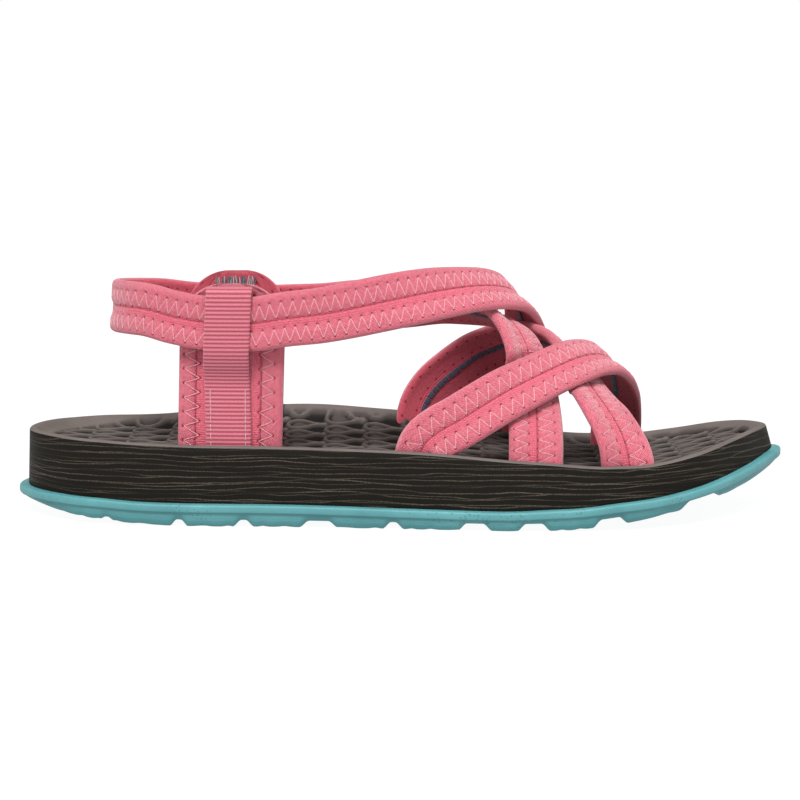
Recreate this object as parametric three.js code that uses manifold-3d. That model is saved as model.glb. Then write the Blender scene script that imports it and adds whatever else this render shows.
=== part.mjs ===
// A right sport sandal: moulded footbed and midsole, rubber outsole, and crossed padded stretch straps.
// Millimetres, +Z up. The toe points along +X and the inner (medial) side of the foot is +Y.
// The origin is on the ground, in the middle of the outsole's length and of its ball width.
import * as THREE from "three";
import Module from "manifold-3d";

const wasm = await Module();
wasm.setup();

// Driving sizes
const SOLE = {
  length: 268,
  ballWidth: 96,
  heelWidth: 74,
  outsoleThickness: 7.8,
  midsoleThickness: 19.5,
  toeSpring: 16.2,
  heelSpring: 6.2,
  archRise: 6.6,
};
const FLANGE = { height: 2.9, overhang: 0.9, ledge: 3.2, edgeRadius: 0.8 };
const FOOTBED = { rimWidth: 1.4, slopeWidth: 7.5, cupDepth: 3.2, wallTaper: 0.6, toeTaper: 1.4 };
const TREAD = { edge: -40, channelWidth: 7, channelDepth: 1.6 };
const HEEL_CURVE = 37;
const INSTEP_HEIGHT = 78.5;
const STRAP = { frontWidth: 18.3, ankleWidth: 19.2, heelWidth: 18.1, thickness: 3.6 };
const ANKLE = { half: 28.8, widestAt: -53, reach: 24, curve: 3.2 };
const WAIST = { lateral: 0, medial: 3.2, from: 20, to: 56 };
const SIDE_STRAP = { width: 35.6, thickness: 2.4, top: 81.6, base: 17, corner: 15, lean: 1.8 };
const SIDE_CENTRE = { lateral: -58.9, medial: -61.2 };
const KEEPER = {
  width: 15.4,
  thickness: 1.2,
  offset: 0.2,
  sewnTo: 48.4,
  lift: 14,
  innerLeg: 11,
  slack: 2,
};
const CLEARANCE = 0.3;
const SIDES = { lateral: -1, medial: 1 };
const STATIONS = 36;

// Half widths of the outsole, as shares of half the width there: heel width blending into ball width.
const OUTLINE = [
  { along: 0.0, lateral: 0.0, medial: 0.0 },
  { along: 0.04, lateral: 0.575, medial: 0.72 },
  { along: 0.1, lateral: 0.86, medial: 0.93 },
  { along: 0.18, lateral: 0.985, medial: 0.965 },
  { along: 0.28, lateral: 1.04, medial: 0.955 },
  { along: 0.38, lateral: 1.045, medial: 0.875 },
  { along: 0.48, lateral: 1.005, medial: 0.785 },
  { along: 0.58, lateral: 0.985, medial: 0.82 },
  { along: 0.67, lateral: 1.0, medial: 0.92 },
  { along: 0.745, lateral: 1.0, medial: 0.965 },
  { along: 0.775, lateral: 0.978, medial: 0.97 },
  { along: 0.82, lateral: 0.906, medial: 0.96 },
  { along: 0.89, lateral: 0.656, medial: 0.885 },
  { along: 0.95, lateral: 0.281, medial: 0.729 },
  { along: 0.985, lateral: -0.04, medial: 0.53 },
  { along: 1.0, lateral: -0.29, medial: 0.29 },
];

// Heights along the sole: ground lift as a share of the toe or heel spring, the rest of its own thickness.
const PROFILE = [
  { along: 0.0, toe: 0, heel: 1.0, outsole: 0.45, midsole: 1.01, arch: 0.0 },
  { along: 0.03, toe: 0, heel: 0.79, outsole: 0.59, midsole: 1.01, arch: 0.0 },
  { along: 0.07, toe: 0, heel: 0.47, outsole: 0.81, midsole: 1.0, arch: 0.06 },
  { along: 0.12, toe: 0, heel: 0.24, outsole: 0.94, midsole: 1.0, arch: 0.15 },
  { along: 0.18, toe: 0, heel: 0.056, outsole: 0.98, midsole: 1.01, arch: 0.3 },
  { along: 0.24, toe: 0, heel: 0, outsole: 1.0, midsole: 0.995, arch: 0.6 },
  { along: 0.38, toe: 0, heel: 0, outsole: 0.975, midsole: 0.985, arch: 1.0 },
  { along: 0.5, toe: 0, heel: 0, outsole: 0.9, midsole: 0.97, arch: 0.76 },
  { along: 0.62, toe: 0, heel: 0, outsole: 0.85, midsole: 0.877, arch: 0.22 },
  { along: 0.7, toe: 0.022, heel: 0, outsole: 0.92, midsole: 0.757, arch: -0.05 },
  { along: 0.76, toe: 0.12, heel: 0, outsole: 0.92, midsole: 0.634, arch: -0.07 },
  { along: 0.82, toe: 0.26, heel: 0, outsole: 0.82, midsole: 0.572, arch: -0.07 },
  { along: 0.88, toe: 0.436, heel: 0, outsole: 0.745, midsole: 0.564, arch: -0.03 },
  { along: 0.93, toe: 0.622, heel: 0, outsole: 0.72, midsole: 0.545, arch: 0.0 },
  { along: 0.97, toe: 0.82, heel: 0, outsole: 0.65, midsole: 0.489, arch: 0.0 },
  { along: 1.0, toe: 1.0, heel: 0, outsole: 0.55, midsole: 0.406, arch: 0.0 },
];

// Grooves across the tread: place at the outer edge, floor, mouth and depth, and turn in degrees.
const GROOVES = [
  { x: -99.6, floor: 0.6, mouth: 4.4, depth: 1.2, turn: 4 },
  { x: -75.3, floor: 1.4, mouth: 5.2, depth: 2.2, turn: 3 },
  { x: -53.6, floor: 1.4, mouth: 6.4, depth: 2.3, turn: 2 },
  { x: -28.3, floor: 6.4, mouth: 12.4, depth: 2.3, turn: 0 },
  { x: -3.2, floor: 1.4, mouth: 6.4, depth: 2.3, turn: -4 },
  { x: 24.6, floor: 5.4, mouth: 10.8, depth: 2.4, turn: -8 },
  { x: 44.6, floor: 5.0, mouth: 10.4, depth: 2.5, turn: -10 },
  { x: 70.2, floor: 5.4, mouth: 10.8, depth: 2.5, turn: -12 },
  { x: 98.6, floor: 6.0, mouth: 12.4, depth: 2.5, turn: -12 },
];

// The tables of the foot and of the straps are in per cent of the sole's length along x, of its ball
// width across it, and of the instep height upwards.

// The foot that the straps lie on: half width, and crest height above the footbed.
const LAST = [
  { x: -50.37, half: 29.79, crest: 51.68 },
  { x: -23.51, half: 29.79, crest: 284.24 },
  { x: -15.3, half: 30.73, crest: 258.4 },
  { x: -7.84, half: 33.85, crest: 173.13 },
  { x: -0.37, half: 38.02, crest: 116.28 },
  { x: 5.22, half: 41.67, crest: 87.86 },
  { x: 10.82, half: 43.75, crest: 69.77 },
  { x: 16.42, half: 44.79, crest: 53.62 },
  { x: 22.01, half: 45.83, crest: 40.7 },
  { x: 25.75, half: 45.83, crest: 33.07 },
  { x: 29.48, half: 44.79, crest: 25.84 },
  { x: 33.21, half: 42.71, crest: 20.03 },
  { x: 50, half: 33.33, crest: 15.5 },
];

// Strap routes, along the middle of each strap.
const FRONT_OVER = [
  { x: 2.09, y: -33.85, z: 17.58 },
  { x: 2.09, y: -35.83, z: 26.5 },
  { x: 2.76, y: -37.5, z: 34.91 },
  { x: 4.48, y: -38.12, z: 40.51 },
  { x: 7.05, y: -37.92, z: 45.48 },
  { x: 9.63, y: -36.67, z: 50.7 },
  { x: 13.06, y: -33.54, z: 57.07 },
  { x: 17.16, y: -27.71, z: 63.06 },
  { x: 21.23, y: -19.38, z: 68.03 },
  { x: 23.62, y: -11.88, z: 69.43 },
  { x: 25.9, y: -3.12, z: 68.15 },
  { x: 27.54, y: 6.25, z: 62.93 },
  { x: 28.36, y: 16.15, z: 55.29 },
  { x: 28.73, y: 26.04, z: 47.13 },
  { x: 28.88, y: 33.75, z: 37.32 },
  { x: 28.88, y: 37.5, z: 26.5 },
  { x: 28.88, y: 38.12, z: 16.94 },
];
const FRONT_UNDER = [
  { x: 2.31, y: 26.46, z: 22.67 },
  { x: 2.35, y: 29.38, z: 33.51 },
  { x: 2.99, y: 31.46, z: 42.29 },
  { x: 4.48, y: 31.88, z: 49.93 },
  { x: 6.79, y: 30.62, z: 57.33 },
  { x: 9.85, y: 26.88, z: 65.47 },
  { x: 12.46, y: 22.5, z: 70.31 },
  { x: 15.3, y: 16.25, z: 74.4 },
  { x: 18.21, y: 8.96, z: 75.67 },
  { x: 20.52, y: 1.67, z: 73.24 },
  { x: 21.87, y: -5.1, z: 68.67 },
  { x: 22.72, y: -11.77, z: 63.06 },
  { x: 23.43, y: -17.92, z: 58.6 },
  { x: 24.33, y: -24.9, z: 54.13 },
  { x: 25.45, y: -31.67, z: 49.17 },
  { x: 26.79, y: -36.25, z: 41.53 },
  { x: 27.69, y: -38.54, z: 34.14 },
  { x: 28.13, y: -39.37, z: 26.5 },
  { x: 28.21, y: -38.96, z: 16.3 },
];
const LONG_LATERAL = [
  { x: -37.02, y: 0, z: 91.59 },
  { x: -36.38, y: -11.98, z: 92.23 },
  { x: -34.63, y: -21.67, z: 92.61 },
  { x: -32.09, y: -27.71, z: 92.22 },
  { x: -28.73, y: -31.67, z: 89.56 },
  { x: -25, y: -33.96, z: 87.52 },
  { x: -21.64, y: -34.9, z: 87.01 },
  { x: -18.28, y: -35, z: 87.14 },
  { x: -14.81, y: -34.38, z: 88.92 },
  { x: -10.45, y: -33.33, z: 90.45 },
  { x: -6.72, y: -32.29, z: 92.61 },
  { x: -2.99, y: -30.21, z: 95.03 },
  { x: 0.9, y: -27.08, z: 97.32 },
  { x: 4.85, y: -21.88, z: 99.11 },
  { x: 8.81, y: -15, z: 100 },
  { x: 11.79, y: -7.71, z: 99.36 },
  { x: 13.96, y: 0.42, z: 96.81 },
  { x: 15.3, y: 8.96, z: 90.96 },
  { x: 16.12, y: 16.67, z: 82.8 },
  { x: 16.49, y: 24.17, z: 72.87 },
  { x: 16.64, y: 30.42, z: 62.17 },
  { x: 16.68, y: 34.58, z: 50.06 },
  { x: 16.72, y: 36.88, z: 37.96 },
  { x: 16.72, y: 37.5, z: 27.77 },
  { x: 16.72, y: 37.29, z: 17.58 },
];
const LONG_MEDIAL = [
  { x: -37.02, y: 0, z: 91.59 },
  { x: -36.38, y: 11.98, z: 90.7 },
  { x: -34.63, y: 21.67, z: 89.81 },
  { x: -32.09, y: 27.71, z: 88.92 },
  { x: -28.73, y: 31.67, z: 87.14 },
  { x: -25, y: 33.96, z: 86.12 },
  { x: -21.64, y: 34.9, z: 85.35 },
  { x: -18.28, y: 35, z: 85.09 },
  { x: -14.81, y: 34.38, z: 85.35 },
  { x: -10.45, y: 33.33, z: 85.85 },
  { x: -6.72, y: 32.29, z: 87.14 },
  { x: -2.99, y: 30.21, z: 88.28 },
  { x: 0.75, y: 26.04, z: 89.56 },
  { x: 4.1, y: 19.79, z: 90.69 },
  { x: 7.09, y: 12.5, z: 89.68 },
  { x: 9.7, y: 4.38, z: 88.54 },
  { x: 11.72, y: -3.12, z: 87.38 },
  { x: 13.28, y: -9.38, z: 84.97 },
  { x: 14.48, y: -14.58, z: 81.01 },
  { x: 15.45, y: -18.96, z: 74.4 },
  { x: 16.04, y: -22.5, z: 65.99 },
  { x: 16.34, y: -26.46, z: 57.73 },
  { x: 16.57, y: -31.67, z: 48.41 },
  { x: 16.68, y: -36.46, z: 38.72 },
  { x: 16.64, y: -39.17, z: 27.77 },
  { x: 16.64, y: -39.17, z: 16.94 },
];

// A smooth value from a table: monotone cubic, so a level stretch stays level.
function slopesOf(xs, ys) {
  const step = xs.slice(1).map((x, i) => (ys[i + 1] - ys[i]) / (x - xs[i]));
  return xs.map((_, i) => {
    if (i === 0) return step[0];
    if (i === xs.length - 1) return step[i - 1];
    const [a, b] = [step[i - 1], step[i]];
    return a * b <= 0 ? 0 : (2 * a * b) / (a + b);
  });
}

function tableValue(rows, key, column, at) {
  const xs = rows.map((row) => row[column]);
  const ys = rows.map((row) => row[key]);
  const slopes = slopesOf(xs, ys);
  const x = Math.min(Math.max(at, xs[0]), xs.at(-1));
  let i = xs.findIndex((value) => value >= x) - 1;
  i = Math.max(i, 0);
  const width = xs[i + 1] - xs[i];
  const t = (x - xs[i]) / width;
  const [t2, t3] = [t * t, t * t * t];
  return (
    (2 * t3 - 3 * t2 + 1) * ys[i] +
    (t3 - 2 * t2 + t) * width * slopes[i] +
    (3 * t2 - 2 * t3) * ys[i + 1] +
    (t3 - t2) * width * slopes[i + 1]
  );
}

const smoothstep = (from, to, x) => THREE.MathUtils.smoothstep(x, from, to);
const mix = THREE.MathUtils.lerp;

// Plan outline of the sole
const shareOf = (x) => x / SOLE.length + 0.5;
const angleOf = (along) => Math.acos(1 - 2 * along);
const OUTLINE_BY_ANGLE = OUTLINE.map((row) => ({ ...row, angle: angleOf(row.along) }));

function outlinePoint(k, side) {
  const angle = (Math.PI * k) / STATIONS;
  const along = (1 - Math.cos(angle)) / 2;
  const half = mix(SOLE.heelWidth, SOLE.ballWidth, smoothstep(0.3, 0.66, along)) / 2;
  const share = tableValue(OUTLINE_BY_ANGLE, side, "angle", angle);
  const y = (side === "lateral" ? -1 : 1) * share * half;
  return { x: (along - 0.5) * SOLE.length, y, along, side };
}

// Heel tip, lateral side, toe tip, medial side: anticlockwise from above.
const RIM = [
  outlinePoint(0, "lateral"),
  ...Array.from({ length: STATIONS }, (_, i) => outlinePoint(i + 1, "lateral")),
  ...Array.from({ length: STATIONS - 1 }, (_, i) => outlinePoint(STATIONS - 1 - i, "medial")),
];

function insetRing(insetAt) {
  const n = RIM.length;
  return RIM.map((point, i) => {
    const [before, after] = [RIM[(i + n - 1) % n], RIM[(i + 1) % n]];
    const [tx, ty] = [after.x - before.x, after.y - before.y];
    const inset = insetAt(point) / Math.hypot(tx, ty);
    return { ...point, x: point.x - ty * inset, y: point.y + tx * inset };
  });
}

// Draws a ring in towards the sole's middle line.
const SPINE = { heel: -100, toe: 98, toeY: 6 };
function shrunkRing(ring, share) {
  return ring.map((point, i) => {
    const x = Math.min(Math.max(point.x, SPINE.heel), SPINE.toe);
    const across = RIM[(RIM.length - i) % RIM.length];
    const y = point.x > SPINE.toe ? SPINE.toeY : (point.y + across.y) / 2;
    return { ...point, x: mix(x, point.x, share), y: mix(y, point.y, share) };
  });
}

// Heights
const profile = (key, along) => tableValue(PROFILE, key, "along", along);
const groundZ = (along) =>
  SOLE.toeSpring * profile("toe", along) + SOLE.heelSpring * profile("heel", along);
const seamZ = (along) => groundZ(along) + SOLE.outsoleThickness * profile("outsole", along);
const rimZ = (along, side = "lateral") =>
  seamZ(along) +
  SOLE.midsoleThickness * profile("midsole", along) +
  (side === "medial" ? SOLE.archRise * profile("arch", along) : 0);
const partingZ = (along) => Math.max(seamZ(along) - FLANGE.height, mix(groundZ(along), seamZ(along), 0.25));
const floorZ = (along) => rimZ(along) - FOOTBED.cupDepth;

const withZ = (ring, zAt) => ring.map((point) => new THREE.Vector3(point.x, point.y, zAt(point)));

// A closed solid from rings that run from the middle of the underside out, up, and in to the top's middle.
function ringSolid(rings) {
  const n = rings[0].length;
  const positions = rings.flat().flatMap((v) => [v.x, v.y, v.z]);
  const faces = [];
  const quad = (a, b, c, d) => faces.push(a, b, c, a, c, d);
  for (let r = 0; r + 1 < rings.length; r++)
    for (let i = 0; i < n; i++) {
      const j = (i + 1) % n;
      quad(r * n + i, r * n + j, (r + 1) * n + j, (r + 1) * n + i);
    }
  const cap = (base, top) => {
    const half = n / 2;
    for (let k = 0; k < half; k++) {
      const [a, b, c, d] = [k, k + 1, (n - k - 1) % n, (n - k) % n].map((i) => base + i);
      const loop = top ? [a, b, c, d] : [d, c, b, a];
      if (k === 0) faces.push(...(top ? [a, b, c] : [c, b, a]));
      else if (k === half - 1) faces.push(...(top ? [a, b, d] : [d, b, a]));
      else quad(...loop);
    }
  };
  cap(0, false);
  cap((rings.length - 1) * n, true);
  return solidFrom(positions, faces);
}

function solidFrom(positions, faces) {
  return new wasm.Manifold(
    new wasm.Mesh({
      numProp: 3,
      vertProperties: new Float32Array(positions),
      triVerts: new Uint32Array(faces),
    }),
  );
}

function geometryOf(solid) {
  const mesh = solid.getMesh();
  const geometry = new THREE.BufferGeometry();
  const vertices = new Float32Array(mesh.numVert * 3);
  for (let i = 0; i < mesh.numVert; i++)
    vertices.set(mesh.vertProperties.subarray(i * mesh.numProp, i * mesh.numProp + 3), i * 3);
  geometry.setAttribute("position", new THREE.BufferAttribute(vertices, 3));
  geometry.setIndex(new THREE.BufferAttribute(new Uint32Array(mesh.triVerts), 1));
  geometry.computeVertexNormals();
  return geometry;
}

// Outsole: rubber tread with a flange that stands out all round under the midsole.
function outsoleSolid() {
  const ground = (point) => groundZ(shareOf(point.x));
  const wall = (share) => (point) => mix(groundZ(point.along), partingZ(point.along), share);
  const seam = (drop) => (point) => seamZ(point.along) - drop;
  const step = FLANGE.overhang;
  const inner = insetRing(() => FLANGE.ledge);
  const body = ringSolid([
    withZ(shrunkRing(inner, 0.5), ground),
    withZ(insetRing(() => step + 1.6), ground),
    withZ(insetRing(() => step + 0.7), wall(0.25)),
    withZ(insetRing(() => step + 0.1), wall(0.7)),
    withZ(insetRing(() => step), wall(1)),
    withZ(insetRing(() => 0), (point) => mix(partingZ(point.along), seamZ(point.along), 0.15)),
    withZ(insetRing(() => 0), (point) => mix(partingZ(point.along), seamZ(point.along), 0.7)),
    withZ(insetRing(() => FLANGE.edgeRadius), seam(CLEARANCE / 2)),
    withZ(inner, seam(CLEARANCE / 2)),
    withZ(shrunkRing(inner, 0.5), (point) => seamZ(shareOf(point.x)) - CLEARANCE / 2),
  ]);
  return GROOVES.reduce((solid, groove) => solid.subtract(grooveSolid(groove)), body)
    .subtract(channelSolid(-92, -34))
    .subtract(channelSolid(8, 88));
}

// One groove across the tread, with slanted sides.
function grooveSolid({ x, floor, mouth, depth, turn }) {
  const reach = depth + 8;
  const half = floor / 2;
  const foot = half + ((mouth - floor) / 2) * (reach / depth);
  const slope = Math.tan(THREE.MathUtils.degToRad(turn));
  const sections = Array.from({ length: 11 }, (_, i) => {
    const y = TREAD.edge - 14 + i * 12;
    const middle = x - (y - TREAD.edge) * slope;
    const top = groundZ(shareOf(middle)) + depth;
    return [
      new THREE.Vector3(middle - half, y, top),
      new THREE.Vector3(middle + half, y, top),
      new THREE.Vector3(middle + foot, y, top - reach),
      new THREE.Vector3(middle - foot, y, top - reach),
    ];
  });
  return loftSolid(sections);
}

// A channel along the middle of the tread, between two places.
function channelSolid(from, to) {
  const half = TREAD.channelWidth / 2;
  const steps = 8;
  const sections = Array.from({ length: steps + 1 }, (_, i) => {
    const x = mix(from, to, i / steps);
    const top = groundZ(shareOf(x)) + TREAD.channelDepth;
    const y = 6 * smoothstep(0.5, 1, shareOf(x)) - 1;
    return [
      new THREE.Vector3(x, y - half * 0.6, top),
      new THREE.Vector3(x, y + half * 0.6, top),
      new THREE.Vector3(x, y + half * 2.2, top - 8),
      new THREE.Vector3(x, y - half * 2.2, top - 8),
    ];
  });
  return loftSolid(sections);
}

// A closed solid through sections with the same number of points.
function loftSolid(sections) {
  const n = sections[0].length;
  const positions = sections.flat().flatMap((v) => [v.x, v.y, v.z]);
  const faces = [];
  for (let s = 0; s + 1 < sections.length; s++)
    for (let i = 0; i < n; i++) {
      const j = (i + 1) % n;
      const [a, b, c, d] = [s * n + i, s * n + j, (s + 1) * n + j, (s + 1) * n + i];
      faces.push(a, b, c, a, c, d);
    }
  const last = (sections.length - 1) * n;
  const capTriangles = capOf(sections[0]);
  for (const [a, b, c] of capTriangles) {
    faces.push(c, b, a);
    faces.push(last + a, last + b, last + c);
  }
  const made = solidFrom(positions, faces);
  if (made.volume() >= 0) return made;
  for (let i = 0; i < faces.length; i += 3) [faces[i + 1], faces[i + 2]] = [faces[i + 2], faces[i + 1]];
  return solidFrom(positions, faces);
}

// Triangles that fill a section: a strip between its two sides.
function capOf(section) {
  const n = section.length;
  const triangles = [];
  let [low, high] = [0, n - 1];
  while (high - low > 1) {
    triangles.push([low, low + 1, high]);
    if (high - low > 2) triangles.push([low + 1, high - 1, high]);
    low++;
    high--;
  }
  return triangles;
}

// Midsole and footbed in one: straight wall, rounded rim and a dished top.
function midsoleBody() {
  const taper = (point) => FOOTBED.wallTaper + FOOTBED.toeTaper * smoothstep(0.85, 1, point.along);
  const at = (extra) => insetRing((point) => FLANGE.ledge + taper(point) + extra);
  const rim = (drop) => (point) => rimZ(point.along, point.side) - drop;
  const slope = at(FOOTBED.slopeWidth);
  const archShare = (share) => (point) =>
    floorZ(point.along) + (rimZ(point.along, point.side) - rimZ(point.along)) * share;
  const bottom = insetRing(() => FLANGE.ledge);
  return ringSolid([
    withZ(shrunkRing(bottom, 0.5), (point) => seamZ(shareOf(point.x)) + CLEARANCE / 2),
    withZ(bottom, (point) => seamZ(point.along) + CLEARANCE / 2),
    withZ(at(0), rim(FOOTBED.rimWidth / 2)),
    withZ(at(FOOTBED.rimWidth / 3), rim(0.15)),
    withZ(at(FOOTBED.rimWidth), rim(0)),
    withZ(at(mix(FOOTBED.rimWidth, FOOTBED.slopeWidth, 0.55)), (point) =>
      mix(archShare(0.5)(point), rim(0)(point), 0.3),
    ),
    withZ(slope, archShare(0.4)),
    withZ(shrunkRing(slope, 0.5), (point) => archShare(0.12)(point) - 0.6),
  ]);
}

// The foot's surface, as a level that grows outwards. Only its slope is used, for the way a strap faces.
function lastLevel(p) {
  const at = (100 * p.x) / SOLE.length;
  const half = (tableValue(LAST, "half", "x", at) * SOLE.ballWidth) / 100;
  const crest = (tableValue(LAST, "crest", "x", at) * INSTEP_HEIGHT) / 100;
  const back = (Math.min(at - LAST[1].x, 0) * SOLE.length) / 100 / HEEL_CURVE;
  const across = Math.hypot(p.y / half, back);
  const up = Math.max(p.z - floorZ(shareOf(p.x)), 0) / crest;
  return across ** 2 + up ** 2;
}

function lastNormal(p) {
  const step = 0.5;
  const along = (axis) => {
    const [a, b] = [p.clone(), p.clone()];
    a[axis] -= step;
    b[axis] += step;
    return lastLevel(b) - lastLevel(a);
  };
  return new THREE.Vector3(along("x"), along("y"), along("z")).normalize();
}

// Frames along a route: place, way along, way out and way across.
function routeFrames(rows, spacing) {
  const curve = new THREE.CatmullRomCurve3(
    rows.map(({ x, y, z }) =>
      new THREE.Vector3(x * SOLE.length, y * SOLE.ballWidth, z * INSTEP_HEIGHT).divideScalar(100),
    ),
    false,
    "centripetal",
  );
  curve.arcLengthDivisions = 600;
  const steps = Math.round(curve.getLength() / spacing);
  return Array.from({ length: steps + 1 }, (_, i) => {
    const place = curve.getPointAt(i / steps);
    const along = curve.getTangentAt(i / steps);
    const out = lastNormal(place);
    out.addScaledVector(along, -out.dot(along)).normalize();
    return { place, along, out, across: new THREE.Vector3().crossVectors(along, out) };
  });
}

// Section of a padded strap: across and out, with rolled edges and a shallow groove along the middle.
function strapSection(width, grow) {
  const half = width / 2 + grow;
  const thick = STRAP.thickness / 2 + grow;
  return [
    [-half, 0],
    [-half + 1.2, -thick * 0.78],
    [-half + 3.2, -thick],
    [half - 3.2, -thick],
    [half - 1.2, -thick * 0.78],
    [half, 0],
    [half - 1.2, thick * 0.78],
    [half - 4, thick],
    [0, thick - 0.5],
    [-half + 4, thick],
    [-half + 1.2, thick * 0.78],
  ];
}

// The width that each strap starts with, and the one at its crossings. All end in the front width.
const STRAPS = [
  { rows: FRONT_OVER, start: STRAP.frontWidth, middle: STRAP.frontWidth },
  { rows: FRONT_UNDER, start: STRAP.frontWidth, middle: STRAP.frontWidth },
  { rows: LONG_LATERAL, start: STRAP.heelWidth, middle: STRAP.ankleWidth },
  { rows: LONG_MEDIAL, start: STRAP.heelWidth, middle: STRAP.ankleWidth },
];

function strapSolid({ rows, start, middle }, grow = 0) {
  const frames = routeFrames(rows, 5.2);
  return loftSolid(
    frames.map(({ place, across, out }, i) => {
      const share = i / (frames.length - 1);
      const width = mix(start, middle, smoothstep(0.22, 0.5, share));
      const narrowing = smoothstep(0.6, 0.82, share);
      return strapSection(mix(width, STRAP.frontWidth, narrowing), grow).map(([a, o]) =>
        place.clone().addScaledVector(across, a).addScaledVector(out, o),
      );
    }),
  );
}

// Where the ankle's side is, at a place along the foot and a height.
function ankleSide(side, x, z) {
  const bow = ANKLE.curve * ((x - ANKLE.widestAt) / ANKLE.reach) ** 2;
  const waist = WAIST[side] * (1 - smoothstep(WAIST.from, WAIST.to, z));
  return SIDES[side] * (ANKLE.half - bow - waist);
}

// Heights of the bends in a side strap, which the keeper sewn on it shares.
const BENDS = [0.2, 0.34, 0.48, 0.62, 0.78].map((share) =>
  mix(SIDE_STRAP.base, SIDE_STRAP.top - SIDE_STRAP.corner, share),
);

// Side strap: an upright band with a rounded top, curved round the ankle.
function sideStrapSolid(side, grow = 0) {
  const { width, thickness, top, base, corner, lean } = SIDE_STRAP;
  const columns = [-1, -0.94, -0.65, -0.22, 0.22, 0.65, 0.94, 1];
  const section = (z, narrowing, thin) => {
    const half = width / 2 - narrowing + grow;
    const middle = SIDE_CENTRE[side] + lean * ((z - base) / (top - base));
    const at = (share, way) => {
      const x = middle + share * half;
      const depth = (thickness / 2) * thin * (Math.abs(share) === 1 ? 0.4 : 1) + grow;
      return new THREE.Vector3(x, ankleSide(side, x, z) + SIDES[side] * way * depth, z);
    };
    return [...columns.map((c) => at(c, 1)), ...columns.toReversed().map((c) => at(c, -1))];
  };
  const heights = [base - grow, ...BENDS, top - corner];
  const arc = [20, 40, 60, 78].map(THREE.MathUtils.degToRad);
  return loftSolid([
    ...heights.map((z) => section(z, 0, 1)),
    ...arc.map((a) => section(top - corner * (1 - Math.sin(a)), corner * (1 - Math.cos(a)), 1)),
    section(top + grow, corner * 0.88, 0.5),
  ]);
}

// Keeper: webbing sewn up the side strap, looped over the ankle strap and down behind it.
function keeperSolid(side, grow = 0) {
  const { width, thickness, offset, sewnTo, lift, innerLeg, slack } = KEEPER;
  const half = thickness / 2 + grow;
  const sewn = SIDE_STRAP.thickness / 2 + CLEARANCE + thickness / 2;
  const outside = ANKLE_GAP + STRAP.thickness / 2 + CLEARANCE + thickness / 2;
  const strapTop = ankleStrapTop(side) + CLEARANCE + slack + thickness / 2;
  const crown = (outside + sewn) / 2;
  const path = [
    [sewn, SIDE_STRAP.base - grow],
    ...BENDS.slice(0, 3).map((z) => [sewn, z]),
    [sewn, sewnTo - 1],
    [mix(sewn, outside, 0.2), sewnTo + lift * 0.19],
    [mix(sewn, outside, 0.62), sewnTo + lift * 0.46],
    [mix(sewn, outside, 0.93), sewnTo + lift * 0.73],
    [outside, sewnTo + lift],
    [outside, strapTop - 2.4],
    [mix(crown, outside, 0.75), strapTop - 0.8],
    [crown, strapTop],
    [mix(crown, sewn, 0.75), strapTop - 0.8],
    [sewn, strapTop - 2.4],
    [sewn, strapTop - innerLeg],
  ].map(([o, z]) => new THREE.Vector2(o, z));
  const edge = (way) =>
    path.map((point, i) => {
      const before = path[Math.max(i - 1, 0)];
      const after = path[Math.min(i + 1, path.length - 1)];
      const along = after.clone().sub(before).normalize();
      return new THREE.Vector2(point.x + way * half * along.y, point.y - way * half * along.x);
    });
  const loop = [...edge(1), ...edge(-1).toReversed()];
  const steps = 4;
  const sections = Array.from({ length: steps + 1 }, (_, i) => {
    const x = SIDE_CENTRE[side] + offset + (width / 2 + grow) * ((2 * i) / steps - 1);
    return loop.map(
      ({ x: out, y: z }) => new THREE.Vector3(x, ankleSide(side, x, z) + SIDES[side] * out, z),
    );
  });
  return loftSolid(sections);
}

// From the middle of a side strap to the middle of the ankle strap outside it.
const ANKLE_GAP = SIDE_STRAP.thickness / 2 + CLEARANCE * 2 + KEEPER.thickness + STRAP.thickness / 2;

function ankleStrapTop(side) {
  const route = side === "lateral" ? LONG_LATERAL : LONG_MEDIAL;
  const height = tableValue(route.slice(0, 12), "z", "x", (100 * SIDE_CENTRE[side]) / SOLE.length);
  return (height * INSTEP_HEIGHT) / 100 + STRAP.heelWidth / 2;
}

const meshOf = (name, solid, colour, roughness) => {
  const material = new THREE.MeshStandardMaterial({ color: colour, roughness, metalness: 0 });
  const mesh = new THREE.Mesh(geometryOf(solid), material);
  mesh.name = name;
  return mesh;
};

const sandal = new THREE.Group();
sandal.name = "sport_sandal";
const pockets = [
  ...STRAPS.map((strap) => strapSolid(strap, CLEARANCE)),
  ...Object.keys(SIDES).flatMap((side) => [
    sideStrapSolid(side, CLEARANCE),
    keeperSolid(side, CLEARANCE),
  ]),
];
const midsole = pockets.reduce((solid, pocket) => solid.subtract(pocket), midsoleBody());
sandal.add(meshOf("outsole", outsoleSolid(), 0x5fb8b8, 0.6));
sandal.add(meshOf("midsole", midsole, 0x2c2824, 0.8));
const straps = STRAPS.map((strap) => strapSolid(strap)).reduce((all, strap) => all.add(strap));
sandal.add(meshOf("upper_straps", straps, 0xe8788c, 0.9));
for (const side of Object.keys(SIDES)) {
  sandal.add(meshOf("side_strap_" + side, sideStrapSolid(side), 0xe8788c, 0.9));
  sandal.add(meshOf("keeper_" + side, keeperSolid(side), 0xd97386, 0.8));
}

export default sandal;
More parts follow.
